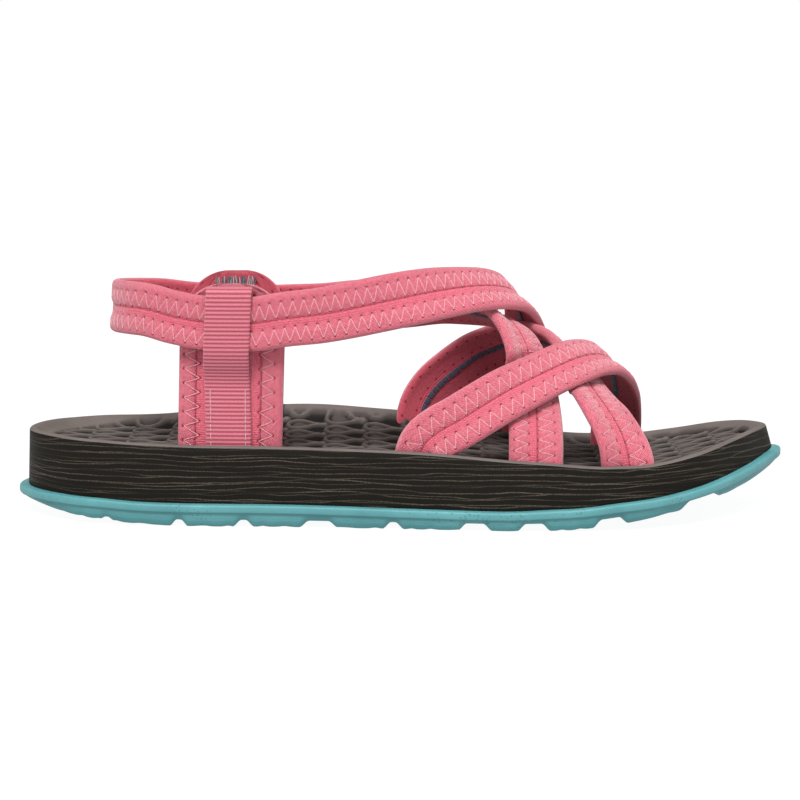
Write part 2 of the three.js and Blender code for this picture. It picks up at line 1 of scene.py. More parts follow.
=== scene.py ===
import math
import bmesh
import bpy
import numpy as np
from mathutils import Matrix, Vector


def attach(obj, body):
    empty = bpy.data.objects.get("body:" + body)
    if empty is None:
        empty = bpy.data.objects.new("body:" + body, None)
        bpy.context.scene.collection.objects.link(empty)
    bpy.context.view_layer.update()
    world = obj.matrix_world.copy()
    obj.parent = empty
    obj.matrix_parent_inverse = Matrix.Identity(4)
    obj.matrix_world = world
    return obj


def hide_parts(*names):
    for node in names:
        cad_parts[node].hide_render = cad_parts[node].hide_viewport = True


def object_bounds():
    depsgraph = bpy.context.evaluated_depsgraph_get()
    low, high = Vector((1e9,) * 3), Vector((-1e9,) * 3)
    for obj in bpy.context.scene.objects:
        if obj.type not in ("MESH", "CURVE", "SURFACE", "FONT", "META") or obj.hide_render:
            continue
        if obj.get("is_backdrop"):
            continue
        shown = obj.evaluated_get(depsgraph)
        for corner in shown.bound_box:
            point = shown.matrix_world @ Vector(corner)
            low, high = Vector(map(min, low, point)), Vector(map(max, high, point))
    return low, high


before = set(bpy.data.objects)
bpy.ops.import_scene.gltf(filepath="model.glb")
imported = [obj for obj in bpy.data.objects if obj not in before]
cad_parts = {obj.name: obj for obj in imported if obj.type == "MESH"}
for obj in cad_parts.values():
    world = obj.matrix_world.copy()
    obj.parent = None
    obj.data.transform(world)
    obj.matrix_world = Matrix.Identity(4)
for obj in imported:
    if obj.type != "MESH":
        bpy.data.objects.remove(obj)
cad_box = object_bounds()

# Studio. A pale floor, large soft lights above and in front, and a white surround.
# The camera stands low beside the outer side of the sandal, as in a product photograph.
scene = bpy.context.scene
scene.view_settings.view_transform = "Standard"
eye = bpy.data.cameras.new("photo_camera")
eye.lens = 116.1
eye.sensor_width = 36
camera = bpy.data.objects.new("photo_camera", eye)
camera.location = (-0.001, -0.893, 0.1528)
camera.rotation_euler = (math.radians(90 - 7.3), 0, 0)
scene.collection.objects.link(camera)
scene.camera = camera

surround = bpy.data.worlds.new("surround")
surround.use_nodes = True
sky = surround.node_tree
toward = sky.nodes.new("ShaderNodeTexCoord")
height = sky.nodes.new("ShaderNodeSeparateXYZ")
dome = sky.nodes.new("ShaderNodeMapRange")
dome.inputs["From Min"].default_value = 0.1
dome.inputs["From Max"].default_value = 0.4
dome.inputs["To Min"].default_value = 1.0
dome.inputs["To Max"].default_value = 0.3
sky.links.new(toward.outputs["Generated"], height.inputs[0])
sky.links.new(height.outputs["Z"], dome.inputs["Value"])
sky.links.new(dome.outputs[0], sky.nodes["Background"].inputs["Strength"])
sky.nodes["Background"].inputs["Color"].default_value = (1, 1, 1, 1)
scene.world = surround

for name, turn, strength, spread in (("key", (38, 0, -14), 3.4, 22), ("top", (8, 20, 0), 1.3, 60)):
    lamp = bpy.data.lights.new(name + "_sun", "SUN")
    lamp.energy = strength
    lamp.angle = math.radians(spread)
    light = bpy.data.objects.new(name + "_sun", lamp)
    light.rotation_euler = [math.radians(part) for part in turn]
    scene.collection.objects.link(light)

ground = bpy.data.meshes.new("studio_floor")
ground.from_pydata([(-9, -4, 0), (9, -4, 0), (9, 30, 0), (-9, 30, 0)], [], [(0, 1, 2, 3)])
floor = bpy.data.objects.new("studio_floor", ground)
scene.collection.objects.link(floor)
paper = bpy.data.materials.new("studio_paper")
paper.use_nodes = True
face = paper.node_tree.nodes["Principled BSDF"].inputs
face["Base Color"].default_value = (0.06, 0.06, 0.06, 1)
face["Emission Color"].default_value = (1, 1, 1, 1)
face["Emission Strength"].default_value = 0.94
face["Roughness"].default_value = 0.9
floor.data.materials.append(paper)
floor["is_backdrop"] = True


# Outsole. A moulded rubber plate with a flange round its top, a recessed wall below it,
# and lugs that are parted by soft notches across the tread. It is bonded to the midsole.
SOLE = {"length": 268, "ball": 96, "heel": 74, "outsole": 7.8, "midsole": 19.5,
        "toe_spring": 16.2, "heel_spring": 6.2, "arch": 6.6}
FLANGE = {"height": 2.9, "overhang": 0.9, "ledge": 3.2}
TREAD = {"channel": 1.6, "floor": 2.0, "mouth": 5.0, "toe_shift": 6, "skirt": 0.5, "sipe": 0.3}

# Along the sole, then the half widths as shares of half the width there.
OUTLINE = np.array([
    (0.0, 0.0, 0.0), (0.04, 0.575, 0.72), (0.1, 0.86, 0.93), (0.18, 0.985, 0.965),
    (0.28, 1.04, 0.955), (0.38, 1.045, 0.875), (0.48, 1.005, 0.785), (0.58, 0.985, 0.82),
    (0.67, 1.0, 0.92), (0.745, 1.0, 0.965), (0.775, 0.978, 0.97), (0.82, 0.906, 0.96),
    (0.89, 0.656, 0.885), (0.95, 0.281, 0.729), (0.985, -0.04, 0.53), (1.0, -0.29, 0.29)])

# Along the sole, then toe lift, heel lift, outsole, midsole and arch as shares of their sizes.
PROFILE = np.array([
    (0.0, 0, 1.0, 0.45, 1.01, 0.0), (0.03, 0, 0.79, 0.59, 1.01, 0.0),
    (0.07, 0, 0.47, 0.81, 1.0, 0.06), (0.12, 0, 0.24, 0.94, 1.0, 0.15),
    (0.18, 0, 0.056, 0.98, 1.01, 0.3), (0.24, 0, 0, 1.0, 0.995, 0.6),
    (0.38, 0, 0, 0.975, 0.985, 1.0), (0.5, 0, 0, 0.9, 0.97, 0.76),
    (0.62, 0, 0, 0.85, 0.877, 0.22), (0.7, 0.022, 0, 0.92, 0.757, -0.05),
    (0.76, 0.12, 0, 0.92, 0.634, -0.07), (0.82, 0.26, 0, 0.82, 0.572, -0.07),
    (0.88, 0.436, 0, 0.745, 0.564, -0.03), (0.93, 0.622, 0, 0.72, 0.545, 0.0),
    (0.97, 0.82, 0, 0.65, 0.489, 0.0), (1.0, 1.0, 0, 0.55, 0.406, 0.0)])

# Notches: place at the outer edge, floor width, mouth width, depth and turn in degrees.
NOTCHES = ((-99.6, 0.6, 4.4, 1.2, 4), (-75.3, 1.4, 5.2, 2.2, 3), (-53.6, 1.4, 6.4, 2.3, 2),
           (-28.3, 6.4, 12.4, 2.3, 0), (-3.2, 1.4, 6.4, 2.3, -4), (24.6, 5.4, 10.8, 2.4, -8),
           (44.6, 5.0, 10.4, 2.5, -10), (70.2, 5.4, 10.8, 2.5, -12), (98.6, 6.0, 12.4, 2.5, -12))


def smooth_table(xs, ys, at):
    """A monotone cubic curve through a table."""
    xs, ys = np.asarray(xs, float), np.asarray(ys, float)
    step = np.diff(ys) / np.diff(xs)
    slope = np.concatenate([step[:1], np.zeros(len(xs) - 2), step[-1:]])
    a, b = step[:-1], step[1:]
    rising = a * b > 0
    slope[1:-1][rising] = 2 * a[rising] * b[rising] / (a[rising] + b[rising])
    x = np.clip(at, xs[0], xs[-1])
    i = np.clip(np.searchsorted(xs, x) - 1, 0, len(xs) - 2)
    width = xs[i + 1] - xs[i]
    t = (x - xs[i]) / width
    return ((2 * t**3 - 3 * t**2 + 1) * ys[i] + (t**3 - 2 * t**2 + t) * width * slope[i]
            + (3 * t**2 - 2 * t**3) * ys[i + 1] + (t**3 - t**2) * width * slope[i + 1])


def smoothstep(low, high, x):
    """0 below low, 1 above high, and a soft step between."""
    t = np.clip((x - low) / (high - low), 0, 1)
    return t * t * (3 - 2 * t)


def lerp(a, b, t):
    """The value a share t of the way from a to b."""
    return a + (b - a) * t


def profile(column, along):
    return smooth_table(PROFILE[:, 0], PROFILE[:, column], along)


def ground_z(along):
    return SOLE["toe_spring"] * profile(1, along) + SOLE["heel_spring"] * profile(2, along)


def seam_z(along):
    return ground_z(along) + SOLE["outsole"] * profile(3, along)


def rim_z(along):
    return seam_z(along) + SOLE["midsole"] * profile(4, along)


def arch_z(along):
    return SOLE["arch"] * profile(5, along)


def share_of(x):
    return x / SOLE["length"] + 0.5


def outline_half(along, column):
    half = lerp(SOLE["heel"], SOLE["ball"], smoothstep(0.3, 0.66, along)) / 2
    angle = np.arccos(np.clip(1 - 2 * OUTLINE[:, 0], -1, 1))
    return half * smooth_table(angle, OUTLINE[:, column], np.arccos(np.clip(1 - 2 * along, -1, 1)))


def sole_edges(spacing):
    """Both edges of the outline at matching stations: places, inward ways and the share along."""
    turn = np.linspace(0, np.pi, 6001)
    along = (1 - np.cos(turn)) / 2
    x = (along - 0.5) * SOLE["length"]
    lateral, medial = -outline_half(along, 1), outline_half(along, 2)
    run = np.hypot(np.gradient(x), 0.35 * np.maximum(abs(np.gradient(lateral)), abs(np.gradient(medial))))
    run = np.concatenate([[0], np.cumsum(run)[:-1]])
    at = np.interp(np.linspace(0, run[-1], int(run[-1] / spacing)), run, turn)
    along = (1 - np.cos(at)) / 2
    x = (along - 0.5) * SOLE["length"]
    edges = []
    for y, other, way in ((-outline_half(along, 1), outline_half(along, 2), 1),
                          (outline_half(along, 2), -outline_half(along, 1), -1)):
        px = np.concatenate([x[1:2], x, x[-2:-1]])
        py = np.concatenate([other[1:2], y, other[-2:-1]])
        tx, ty = px[2:] - px[:-2], py[2:] - py[:-2]
        size = np.hypot(tx, ty)
        edges.append((np.stack([x, y], 1), np.stack([-ty / size, tx / size], 1) * way))
    return along, edges


def turn_outwards(mesh, merged=False):
    """Turns a closed mesh's faces outwards and smooths them. merged welds its double corners first."""
    form = bmesh.new()
    form.from_mesh(mesh)
    if merged:
        bmesh.ops.remove_doubles(form, verts=form.verts, dist=2e-6)
        bmesh.ops.dissolve_degenerate(form, edges=form.edges, dist=1e-7)
    if form.calc_volume(signed=True) < 0:
        bmesh.ops.reverse_faces(form, faces=form.faces)
    form.to_mesh(mesh)
    form.free()
    mesh.shade_smooth()


def sole_piece(name, lateral, medial, low, high, material, sharp):
    """A closed body from columns in millimetres, each of which runs along the sole. low and high are the
    columns across the underside and the top, from lateral to medial."""
    points = np.stack(list(lateral) + list(high) + list(medial)[::-1] + list(low)[::-1], 1)
    rows, count = points.shape[:2]
    index = np.arange(rows * count).reshape(rows, count)
    here, there = index[:-1], index[1:]
    faces = np.stack([here, there, np.roll(there, -1, 1), np.roll(here, -1, 1)], -1).reshape(-1, 4)
    mesh = bpy.data.meshes.new(name)
    mesh.from_pydata((points.reshape(-1, 3) * 0.001).tolist(), [], faces.tolist())
    turn_outwards(mesh, merged=True)
    mesh.set_sharp_from_angle(angle=math.radians(sharp))
    mesh.materials.append(material)
    piece = bpy.data.objects.new(name, mesh)
    scene.collection.objects.link(piece)
    return piece


def shader(name, roughness, **sockets):
    """A material with one Principled shader: the material, its tree and the shader."""
    material = bpy.data.materials.new(name)
    material.use_nodes = True
    tree = material.node_tree
    main = tree.nodes["Principled BSDF"]
    main.inputs["Roughness"].default_value = roughness
    for socket, value in sockets.items():
        main.inputs[socket.replace("_", " ")].default_value = value
    return material, tree, main


def add(tree, kind, links=None, **settings):
    """One node. links gives values or other nodes' outputs for its inputs, by name or number."""
    made = tree.nodes.new(kind)
    for key, value in settings.items():
        setattr(made, key, value)
    for key, value in (links or {}).items():
        if isinstance(value, bpy.types.NodeSocket):
            tree.links.new(value, made.inputs[key])
        else:
            made.inputs[key].default_value = value
    return made


def maths(tree, operation, *values, **settings):
    """One sum on values or other nodes' outputs."""
    return add(tree, "ShaderNodeMath", dict(enumerate(values)), operation=operation, **settings).outputs[0]


def spread(tree, value, low, high, start=0.0, stop=1.0):
    """start where the value is at low, stop where it is at high, and even steps between."""
    return add(tree, "ShaderNodeMapRange", {0: value, 1: low, 2: high, 3: start, 4: stop}).outputs[0]


def noise(tree, place, scale, detail):
    """Cloudy noise from 0 to 1."""
    return add(tree, "ShaderNodeTexNoise", {"Vector": place, "Scale": scale, "Detail": detail}).outputs["Fac"]


def ramp(tree, value, dark, light, low=0.0, high=1.0):
    """A colour between two, by a value between low and high."""
    made = add(tree, "ShaderNodeValToRGB", {"Fac": value})
    for stop, colour, at in zip(made.color_ramp.elements, (dark, light), (low, high)):
        stop.color = colour
        stop.position = at
    return made.outputs["Color"]


def mix(tree, factor, first, second, **settings):
    """The second colour laid over the first one by a factor."""
    made = add(tree, "ShaderNodeMix", {"Factor": factor, 6: first, 7: second}, data_type="RGBA", **settings)
    return made.outputs[2]


def dress(tree, main, ink, height, strength, distance):
    """Gives a shader its colour, and its fine relief as a bump."""
    tree.links.new(ink, main.inputs["Base Color"])
    bump = add(tree, "ShaderNodeBump", {"Height": height, "Strength": strength, "Distance": distance})
    tree.links.new(bump.outputs["Normal"], main.inputs["Normal"])


def group_of(name, inputs, outputs, kind="ShaderNodeTree"):
    """An empty node group with named inputs and outputs."""
    tree = bpy.data.node_groups.new(name, kind)
    for label, socket, value in inputs:
        made = tree.interface.new_socket(label, in_out="INPUT", socket_type="NodeSocket" + socket)
        if value is not None:
            made.default_value = value
    for label, socket in outputs:
        tree.interface.new_socket(label, in_out="OUTPUT", socket_type="NodeSocket" + socket)
    return tree, tree.nodes.new("NodeGroupInput").outputs, tree.nodes.new("NodeGroupOutput")


# Moulded grain: two sizes of noise, for rubber and foam skins.
grain, given, result = group_of(
    "moulded_grain",
    [("Vector", "Vector", None), ("Fine", "Float", 2500), ("Broad", "Float", 90)],
    [("Height", "Float"), ("Mottle", "Float")])
grain.links.new(noise(grain, given["Vector"], given["Fine"], 3.0), result.inputs["Height"])
grain.links.new(noise(grain, given["Vector"], given["Broad"], 5.0), result.inputs["Mottle"])

rubber, tree, main = shader("speckled_rubber", 0.5, Specular_IOR_Level=0.35)
place = add(tree, "ShaderNodeTexCoord").outputs["Object"]
skin = add(tree, "ShaderNodeGroup", {"Vector": place, "Fine": 2200.0, "Broad": 60.0}, node_tree=grain).outputs
tone = ramp(tree, skin["Mottle"], (0.066, 0.225, 0.24, 1), (0.096, 0.29, 0.305, 1), 0.3, 0.7)
speck = add(tree, "ShaderNodeTexVoronoi", {"Vector": place, "Scale": 900.0}, feature="F1").outputs["Distance"]
clump = spread(tree, noise(tree, place, 55.0, 4.0), 0.42, 0.62, 0.05, 0.3)
dark = maths(tree, "MULTIPLY", maths(tree, "LESS_THAN", speck, clump), 0.55)
ink = mix(tree, dark, tone, (0.02, 0.11, 0.12, 1))
# Faces that turn downwards, the recessed lower wall and the underside, are mixed up to half way to a darker
# teal: painted shade.
facing = add(tree, "ShaderNodeNewGeometry").outputs["True Normal"]
facing = add(tree, "ShaderNodeSeparateXYZ", {0: facing}).outputs["Z"]
ink = mix(tree, spread(tree, facing, -0.06, -0.3, 0.0, 0.5), ink, (0.024, 0.135, 0.15, 1))
dress(tree, main, ink, skin["Height"], 0.35, 0.0002)


def tread_z(x, y):
    """How far the underside is cut back above the ground line: notches, the middle channel and sipes."""
    depth = np.zeros_like(x)
    for at, foot, mouth, deep, turn in NOTCHES:
        away = abs(x - at + (y + 40) * math.tan(math.radians(turn)))
        wall = (mouth - foot) / 2 + TREAD["skirt"]
        depth = np.maximum(depth, deep * smoothstep(0, wall, mouth / 2 + TREAD["skirt"] - away))
    away = abs(y + 1 - TREAD["toe_shift"] * smoothstep(0.5, 1, share_of(x)))
    heel_part = smoothstep(-95, -88, x) * (1 - smoothstep(-38, -32, x))
    ball_part = smoothstep(6, 12, x) * (1 - smoothstep(82, 90, x))
    channel = TREAD["channel"] * (heel_part + ball_part)
    channel = channel * (1 - smoothstep(TREAD["floor"], TREAD["mouth"], away))
    sipe = TREAD["sipe"] * np.sin(x / 3.1 + 1.9 * np.sin(x / 8.3)) ** 4 * smoothstep(14, 30, away)
    return np.maximum(np.maximum(depth, channel), sipe)


def ring(edge, inset, z):
    """A column of places that runs inside the outline, at an inset and a height."""
    places, inward = edge
    flat = places + inward * (np.ones(len(places)) * inset)[:, None]
    return np.column_stack([flat, z])


along, edges = sole_edges(0.62)
base_line, seam = ground_z(along), seam_z(along)
parting = np.maximum(seam - FLANGE["height"], lerp(base_line, seam, 0.25))
lip = FLANGE["overhang"]
lateral, medial = [], []
for edge, columns in ((edges[0], lateral), (edges[1], medial)):
    flat = edge[0] + edge[1] * (lip + 1.6)
    base = base_line + tread_z(flat[:, 0], flat[:, 1])
    for inset, z in (
        (lip + 1.6, base), (lip + 1.05, lerp(base, parting, 0.05)), (lip + 0.65, lerp(base, parting, 0.2)),
        (lip + 0.35, lerp(base, parting, 0.42)), (lip + 0.12, lerp(base, parting, 0.7)),
        (lip + 0.05, parting - 0.35), (lip, parting - 0.12), (lip - 0.25, parting), (0.18, parting + 0.06),
        (0, parting + 0.35), (0, seam - 1.1), (0.06, seam - 0.65), (0.3, seam - 0.3), (0.8, seam - 0.15),
        (FLANGE["ledge"] + 0.6, seam - 0.15),
    ):
        columns.append(ring(edge, inset, z))
low, high = [], []
for k in range(1, 60):
    flat = lerp(lateral[0], medial[0], k / 60)[:, :2]
    low.append(np.column_stack([flat, ground_z(share_of(flat[:, 0])) + tread_z(flat[:, 0], flat[:, 1])]))
for k in range(1, 8):
    flat = lerp(lateral[-1], medial[-1], k / 8)[:, :2]
    high.append(np.column_stack([flat, seam_z(share_of(flat[:, 0])) - 0.15]))
outsole = sole_piece("rubber_outsole", lateral, medial, low, high, rubber, sharp=50)
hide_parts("outsole")
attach(outsole, "root")


# Midsole. A block of dense foam with a grained side and a dished top, whose skin is moulded with
# rows of raised leaves inside a net of ridges. A smooth border runs round its edge.
FOOTBED = {"rim": 1.4, "slope": 7.5, "cup": 3.2, "taper": 0.6, "toe_taper": 1.4, "border": 7.6}
LEAF = {"pitch": 13.7, "row": 11.6, "half": 3.9, "ridge": 1.25, "node": 1.7, "groove": 0.55, "swell": 2.3}
# Depth of the relief in millimetres, then of its net and leaves and the rise of a leaf in shares of it.
RELIEF = {"depth": 1.5, "net": 0.95, "leaf": 0.9, "rise": 0.56}

foam, tree, main = shader("footbed_foam", 0.6, Specular_IOR_Level=0.1)
place = add(tree, "ShaderNodeTexCoord").outputs["Object"]
skin = add(tree, "ShaderNodeGroup", {"Vector": place, "Fine": 1700.0, "Broad": 70.0}, node_tree=grain).outputs
height = add(tree, "ShaderNodeSeparateXYZ", {0: place}).outputs["Z"]
threads = []
for pitch, wander, shift in ((0.0019, 26.0, 0.0), (0.0031, 17.0, 0.4)):
    wave = add(tree, "ShaderNodeMapping",
               {"Vector": place, "Location": (shift, shift, 0.0), "Scale": (wander, wander, 90.0)})
    wave = maths(tree, "MULTIPLY", noise(tree, wave.outputs[0], 1.0, 3.0), 2.6)
    level = maths(tree, "PINGPONG", maths(tree, "MULTIPLY_ADD", height, 1 / pitch, wave), 0.5)
    threads.append(spread(tree, level, 0.00022 / pitch, 0.00004 / pitch))
fading = add(tree, "ShaderNodeMapping", {"Vector": place, "Scale": (26.0, 26.0, 420.0)}).outputs[0]
fading = spread(tree, noise(tree, fading, 1.0, 2.0), 0.36, 0.66, 0.08, 1.0)
grit = spread(tree, skin["Height"], 0.35, 0.6, 0.4, 1.0)
# The outer wall, found by its faces turning sideways near the edge, is painted a far darker brown than the
# top of the same foam: painted shade on the wall, with the top painted lighter as if lit from above.
upward = add(tree, "ShaderNodeNewGeometry").outputs["True Normal"]
upward = add(tree, "ShaderNodeSeparateXYZ", {0: upward}).outputs["Z"]
side = add(tree, "ShaderNodeAttribute", attribute_name="side").outputs["Fac"]
wall = maths(tree, "MULTIPLY", spread(tree, upward, 0.55, 0.3), side)
streak = maths(tree, "MULTIPLY", maths(tree, "MAXIMUM", *threads), fading)
streak = maths(tree, "MULTIPLY", maths(tree, "MULTIPLY", streak, grit), wall)
# The smooth border and the ridges of the net are painted up to 3.2 times lighter, and the sunk leaves and
# grooves darker: a painted highlight on the raised skin and painted shade in the hollows.
sunk = add(tree, "ShaderNodeAttribute", attribute_name="sunk").outputs["Fac"]
shade = spread(tree, sunk, 0.0, 0.3, 1.0, 0.5)
shade = maths(tree, "MULTIPLY", shade, spread(tree, sunk, 0.36, 0.85, 3.2, 0.5))
tone = ramp(tree, skin["Mottle"], (0.030, 0.025, 0.023, 1), (0.050, 0.042, 0.038, 1))
tone = add(tree, "ShaderNodeVectorMath", {0: tone, "Scale": shade}, operation="SCALE").outputs[0]
ink = mix(tree, wall, tone, (0.0072, 0.0058, 0.004, 1))
ink = mix(tree, streak, ink, (0.10, 0.082, 0.06, 1))
dress(tree, main, ink, maths(tree, "MULTIPLY_ADD", streak, 0.8, skin["Height"]), 0.5, 0.00025)


def leaf_edge():
    """The outline of one leaf, and its upper half: a round head at the heel end, then a long point."""
    turn = np.linspace(0, np.pi / 2, 12)
    head = np.stack([0.3 - 0.26 * np.cos(turn), np.sin(turn)], 1)
    tail = np.linspace(0, 1, 16)[1:]
    tail = np.stack([0.3 + 0.54 * tail, 0.5 + 0.5 * np.cos(np.pi * tail)], 1)
    upper = np.concatenate([head, tail]) * (LEAF["pitch"], LEAF["half"])
    return np.concatenate([upper, upper[::-1][1:-1] * (1, -1)]), upper


def leaf_relief(x, y):
    """Depth of the moulded pattern below the smooth skin in shares, from 0 on the ridges."""
    edge, upper = leaf_edge()
    ways = np.roll(edge, -1, 0) - edge
    height = np.full(x.shape, -RELIEF["net"])
    column = np.floor(x / LEAF["pitch"])
    for step in (-1, 0, 1):
        shift = ((column + step) % 2) * 0.5
        row = np.round(y / LEAF["row"] - shift)
        px = x - (column + step) * LEAF["pitch"]
        for near in (-1, 0, 1):
            py = y - (row + near + shift) * LEAF["row"]
            gap = np.full(x.shape, 1e9)
            for s, w in zip(edge, ways):
                t = np.clip(((px - s[0]) * w[0] + (py - s[1]) * w[1]) / (w @ w), 0, 1)
                gap = np.minimum(gap, np.hypot(px - s[0] - t * w[0], py - s[1] - t * w[1]))
            tip = np.hypot(px - 0.96 * LEAF["pitch"], py)
            raised = np.maximum(np.exp(-(gap / LEAF["ridge"]) ** 4), np.exp(-(tip / LEAF["node"]) ** 4))
            groove = -RELIEF["leaf"] * smoothstep(0, LEAF["groove"], gap)
            pad = -RELIEF["leaf"] + RELIEF["rise"] * smoothstep(0.3, LEAF["swell"], gap)
            leaf = np.where(gap < LEAF["groove"], groove, pad)
            inside = abs(py) < np.interp(px, upper[:, 0], upper[:, 1], left=-1, right=-1)
            height = np.where(inside, leaf, np.maximum(height, RELIEF["net"] * (raised - 1)))
    return height


def border_inset(along):
    """How far the footbed's edge lies inside the sole's outline."""
    return FLANGE["ledge"] + FOOTBED["taper"] + FOOTBED["toe_taper"] * smoothstep(0.85, 1, along)


along, edges = sole_edges(0.72)
rim, seam, arch = rim_z(along), seam_z(along), arch_z(along)
taper, hollow = border_inset(along), rim - FOOTBED["cup"]
knots = np.array([0, 0.47, FOOTBED["rim"], 4.755, FOOTBED["slope"]])
lateral, medial = [], []
for edge, columns, rise in ((edges[0], lateral, 0 * arch), (edges[1], medial, arch)):
    top = rim + rise
    for t in np.linspace(0, 1, 9):
        columns.append(ring(edge, lerp(FLANGE["ledge"], taper, t), lerp(seam + 0.15, top - 0.7, t)))
    levels = np.stack([top - 0.7, top - 0.15, top, lerp(hollow + 0.85 * rise, top, 0.3), hollow + 0.8 * rise])
    for inset in (0.12, 0.3, 0.55, 0.9, 1.4, 2.1, 2.9, 3.7, 4.5, 5.3, 6.1, 6.8, FOOTBED["slope"]):
        z = np.array([smooth_table(knots, column, inset) for column in levels.T])
        columns.append(ring(edge, taper + inset, z))
high, low = [], []
across = 112
for f in np.arange(1, across) / across:
    flat = lerp(lateral[-1], medial[-1], f)[:, :2]
    lift = float(smooth_table([0, 0.4, 0.7, 1], [0, 0.12, 0.4, 0.8], f))
    high.append(np.column_stack([flat, hollow + lift * arch]))
for k in range(1, 8):
    flat = lerp(lateral[0], medial[0], k / 8)[:, :2]
    low.append(np.column_stack([flat, seam_z(share_of(flat[:, 0])) + 0.15]))

border = np.concatenate([edges[0][0], edges[1][0][::-1]])


def from_border(places):
    """How far each place lies from the sole's outline."""
    return np.concatenate([np.hypot(*(part[:, None, :2] - border[None]).transpose(2, 0, 1)).min(1)
                           for part in np.array_split(places, len(places) // 500 + 1)])


def sunk_at(places):
    """How far the moulded pattern lies below the smooth skin, in shares of its depth."""
    x, y = places[:, 0], places[:, 1]
    plain = FOOTBED["border"] + 3.5 * (1 - smoothstep(-120, -94, x)) + 2.0 * smoothstep(96, 120, x)
    return -leaf_relief(x, y) * smoothstep(-0.8, 0.9, from_border(places) - plain)


for column in lateral[9:] + medial[9:] + high:
    column[:, 2] -= RELIEF["depth"] * sunk_at(column)
midsole = sole_piece("foam_midsole", lateral, medial, low, high, foam, sharp=60)
places = np.empty(len(midsole.data.vertices) * 3, np.float32)
midsole.data.vertices.foreach_get("co", places)
places = places.reshape(-1, 3) * 1000.0
inner = from_border(places) - border_inset(share_of(places[:, 0]))
for label, values in (("sunk", sunk_at(places)), ("side", 1 - smoothstep(0.2, 0.9, inner))):
    layer = midsole.data.attributes.new(label, "FLOAT", "POINT")
    layer.data.foreach_set("value", values.astype(np.float32))
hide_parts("midsole")
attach(midsole, "root")


# Straps. Padded tubes of stretch fabric that lie flat, with rolled edges, two rows of zigzag stitching,
# and one straight seam beside a knitted band. They cross over the instep and are moulded into the sole.
# Routes and foot are in per cent of the sole's length, its ball width and the height of the instep.
STRAP = {"front": 18.3, "ankle": 19.2, "heel": 18.1, "thickness": 3.6}
INSTEP = 78.5
HEEL_CURVE = 37
FRONT_OVER = (
    (2.09, -33.85, 17.58), (2.09, -35.83, 26.5), (2.76, -37.5, 34.91), (4.48, -38.12, 40.51),
    (7.05, -37.92, 45.48), (9.63, -36.67, 50.7), (13.06, -33.54, 57.07), (17.16, -27.71, 63.06),
    (21.23, -19.38, 68.03), (23.62, -11.88, 69.43), (25.9, -3.12, 68.15), (27.54, 6.25, 62.93),
    (28.36, 16.15, 55.29), (28.73, 26.04, 47.13), (28.88, 33.75, 37.32), (28.88, 37.5, 26.5),
    (28.88, 38.12, 16.94))
FRONT_UNDER = (
    (2.31, 26.46, 22.67), (2.35, 29.38, 33.51), (2.99, 31.46, 42.29), (4.48, 31.88, 49.93),
    (6.79, 30.62, 57.33), (9.85, 26.88, 65.47), (12.46, 22.5, 70.31), (15.3, 16.25, 74.4),
    (18.21, 8.96, 75.67), (20.52, 1.67, 73.24), (21.87, -5.1, 68.67), (22.72, -11.77, 63.06),
    (23.43, -17.92, 58.6), (24.33, -24.9, 54.13), (25.45, -31.67, 49.17), (26.79, -36.25, 41.53),
    (27.69, -38.54, 34.14), (28.13, -39.37, 26.5), (28.21, -38.96, 16.3))
ANKLE_LATERAL = (
    (-37.02, 0, 91.59), (-36.38, -11.98, 92.23), (-34.63, -21.67, 92.61),
    (-32.09, -27.71, 92.22), (-28.73, -31.67, 89.56), (-25, -33.96, 87.52),
    (-21.64, -34.9, 87.01), (-18.28, -35, 87.14), (-14.81, -34.38, 88.92),
    (-10.45, -33.33, 90.45), (-6.72, -32.29, 92.61), (-2.99, -30.21, 95.03),
    (0.9, -27.08, 97.32), (4.85, -21.88, 99.11), (8.81, -15, 100), (11.79, -7.71, 99.36),
    (13.96, 0.42, 96.81), (15.3, 8.96, 90.96), (16.12, 16.67, 82.8), (16.49, 24.17, 72.87),
    (16.64, 30.42, 62.17), (16.68, 34.58, 50.06), (16.72, 36.88, 37.96), (16.72, 37.5, 27.77),
    (16.72, 37.29, 17.58))
ANKLE_MEDIAL = (
    (-37.02, 0, 91.59), (-36.38, 11.98, 90.7), (-34.63, 21.67, 89.81), (-32.09, 27.71, 88.92),
    (-28.73, 31.67, 87.14), (-25, 33.96, 86.12), (-21.64, 34.9, 85.35), (-18.28, 35, 85.09),
    (-14.81, 34.38, 85.35), (-10.45, 33.33, 85.85), (-6.72, 32.29, 87.14), (-2.99, 30.21, 88.28),
    (0.75, 26.04, 89.56), (4.1, 19.79, 90.69), (7.09, 12.5, 89.68), (9.7, 4.38, 88.54),
    (11.72, -3.12, 87.38), (13.28, -9.38, 84.97), (14.48, -14.58, 81.01), (15.45, -18.96, 74.4),
    (16.04, -22.5, 65.99), (16.34, -26.46, 57.73), (16.57, -31.67, 48.41),
    (16.68, -36.46, 38.72), (16.64, -39.17, 27.77), (16.64, -39.17, 16.94))

# The foot under the straps: place along it, half width and crest height above the footbed.
LAST = np.array([
    (-50.37, 29.79, 51.68), (-23.51, 29.79, 284.24), (-15.3, 30.73, 258.4),
    (-7.84, 33.85, 173.13), (-0.37, 38.02, 116.28), (5.22, 41.67, 87.86), (10.82, 43.75, 69.77),
    (16.42, 44.79, 53.62), (22.01, 45.83, 40.7), (25.75, 45.83, 33.07), (29.48, 44.79, 25.84),
    (33.21, 42.71, 20.03), (50, 33.33, 15.5)])


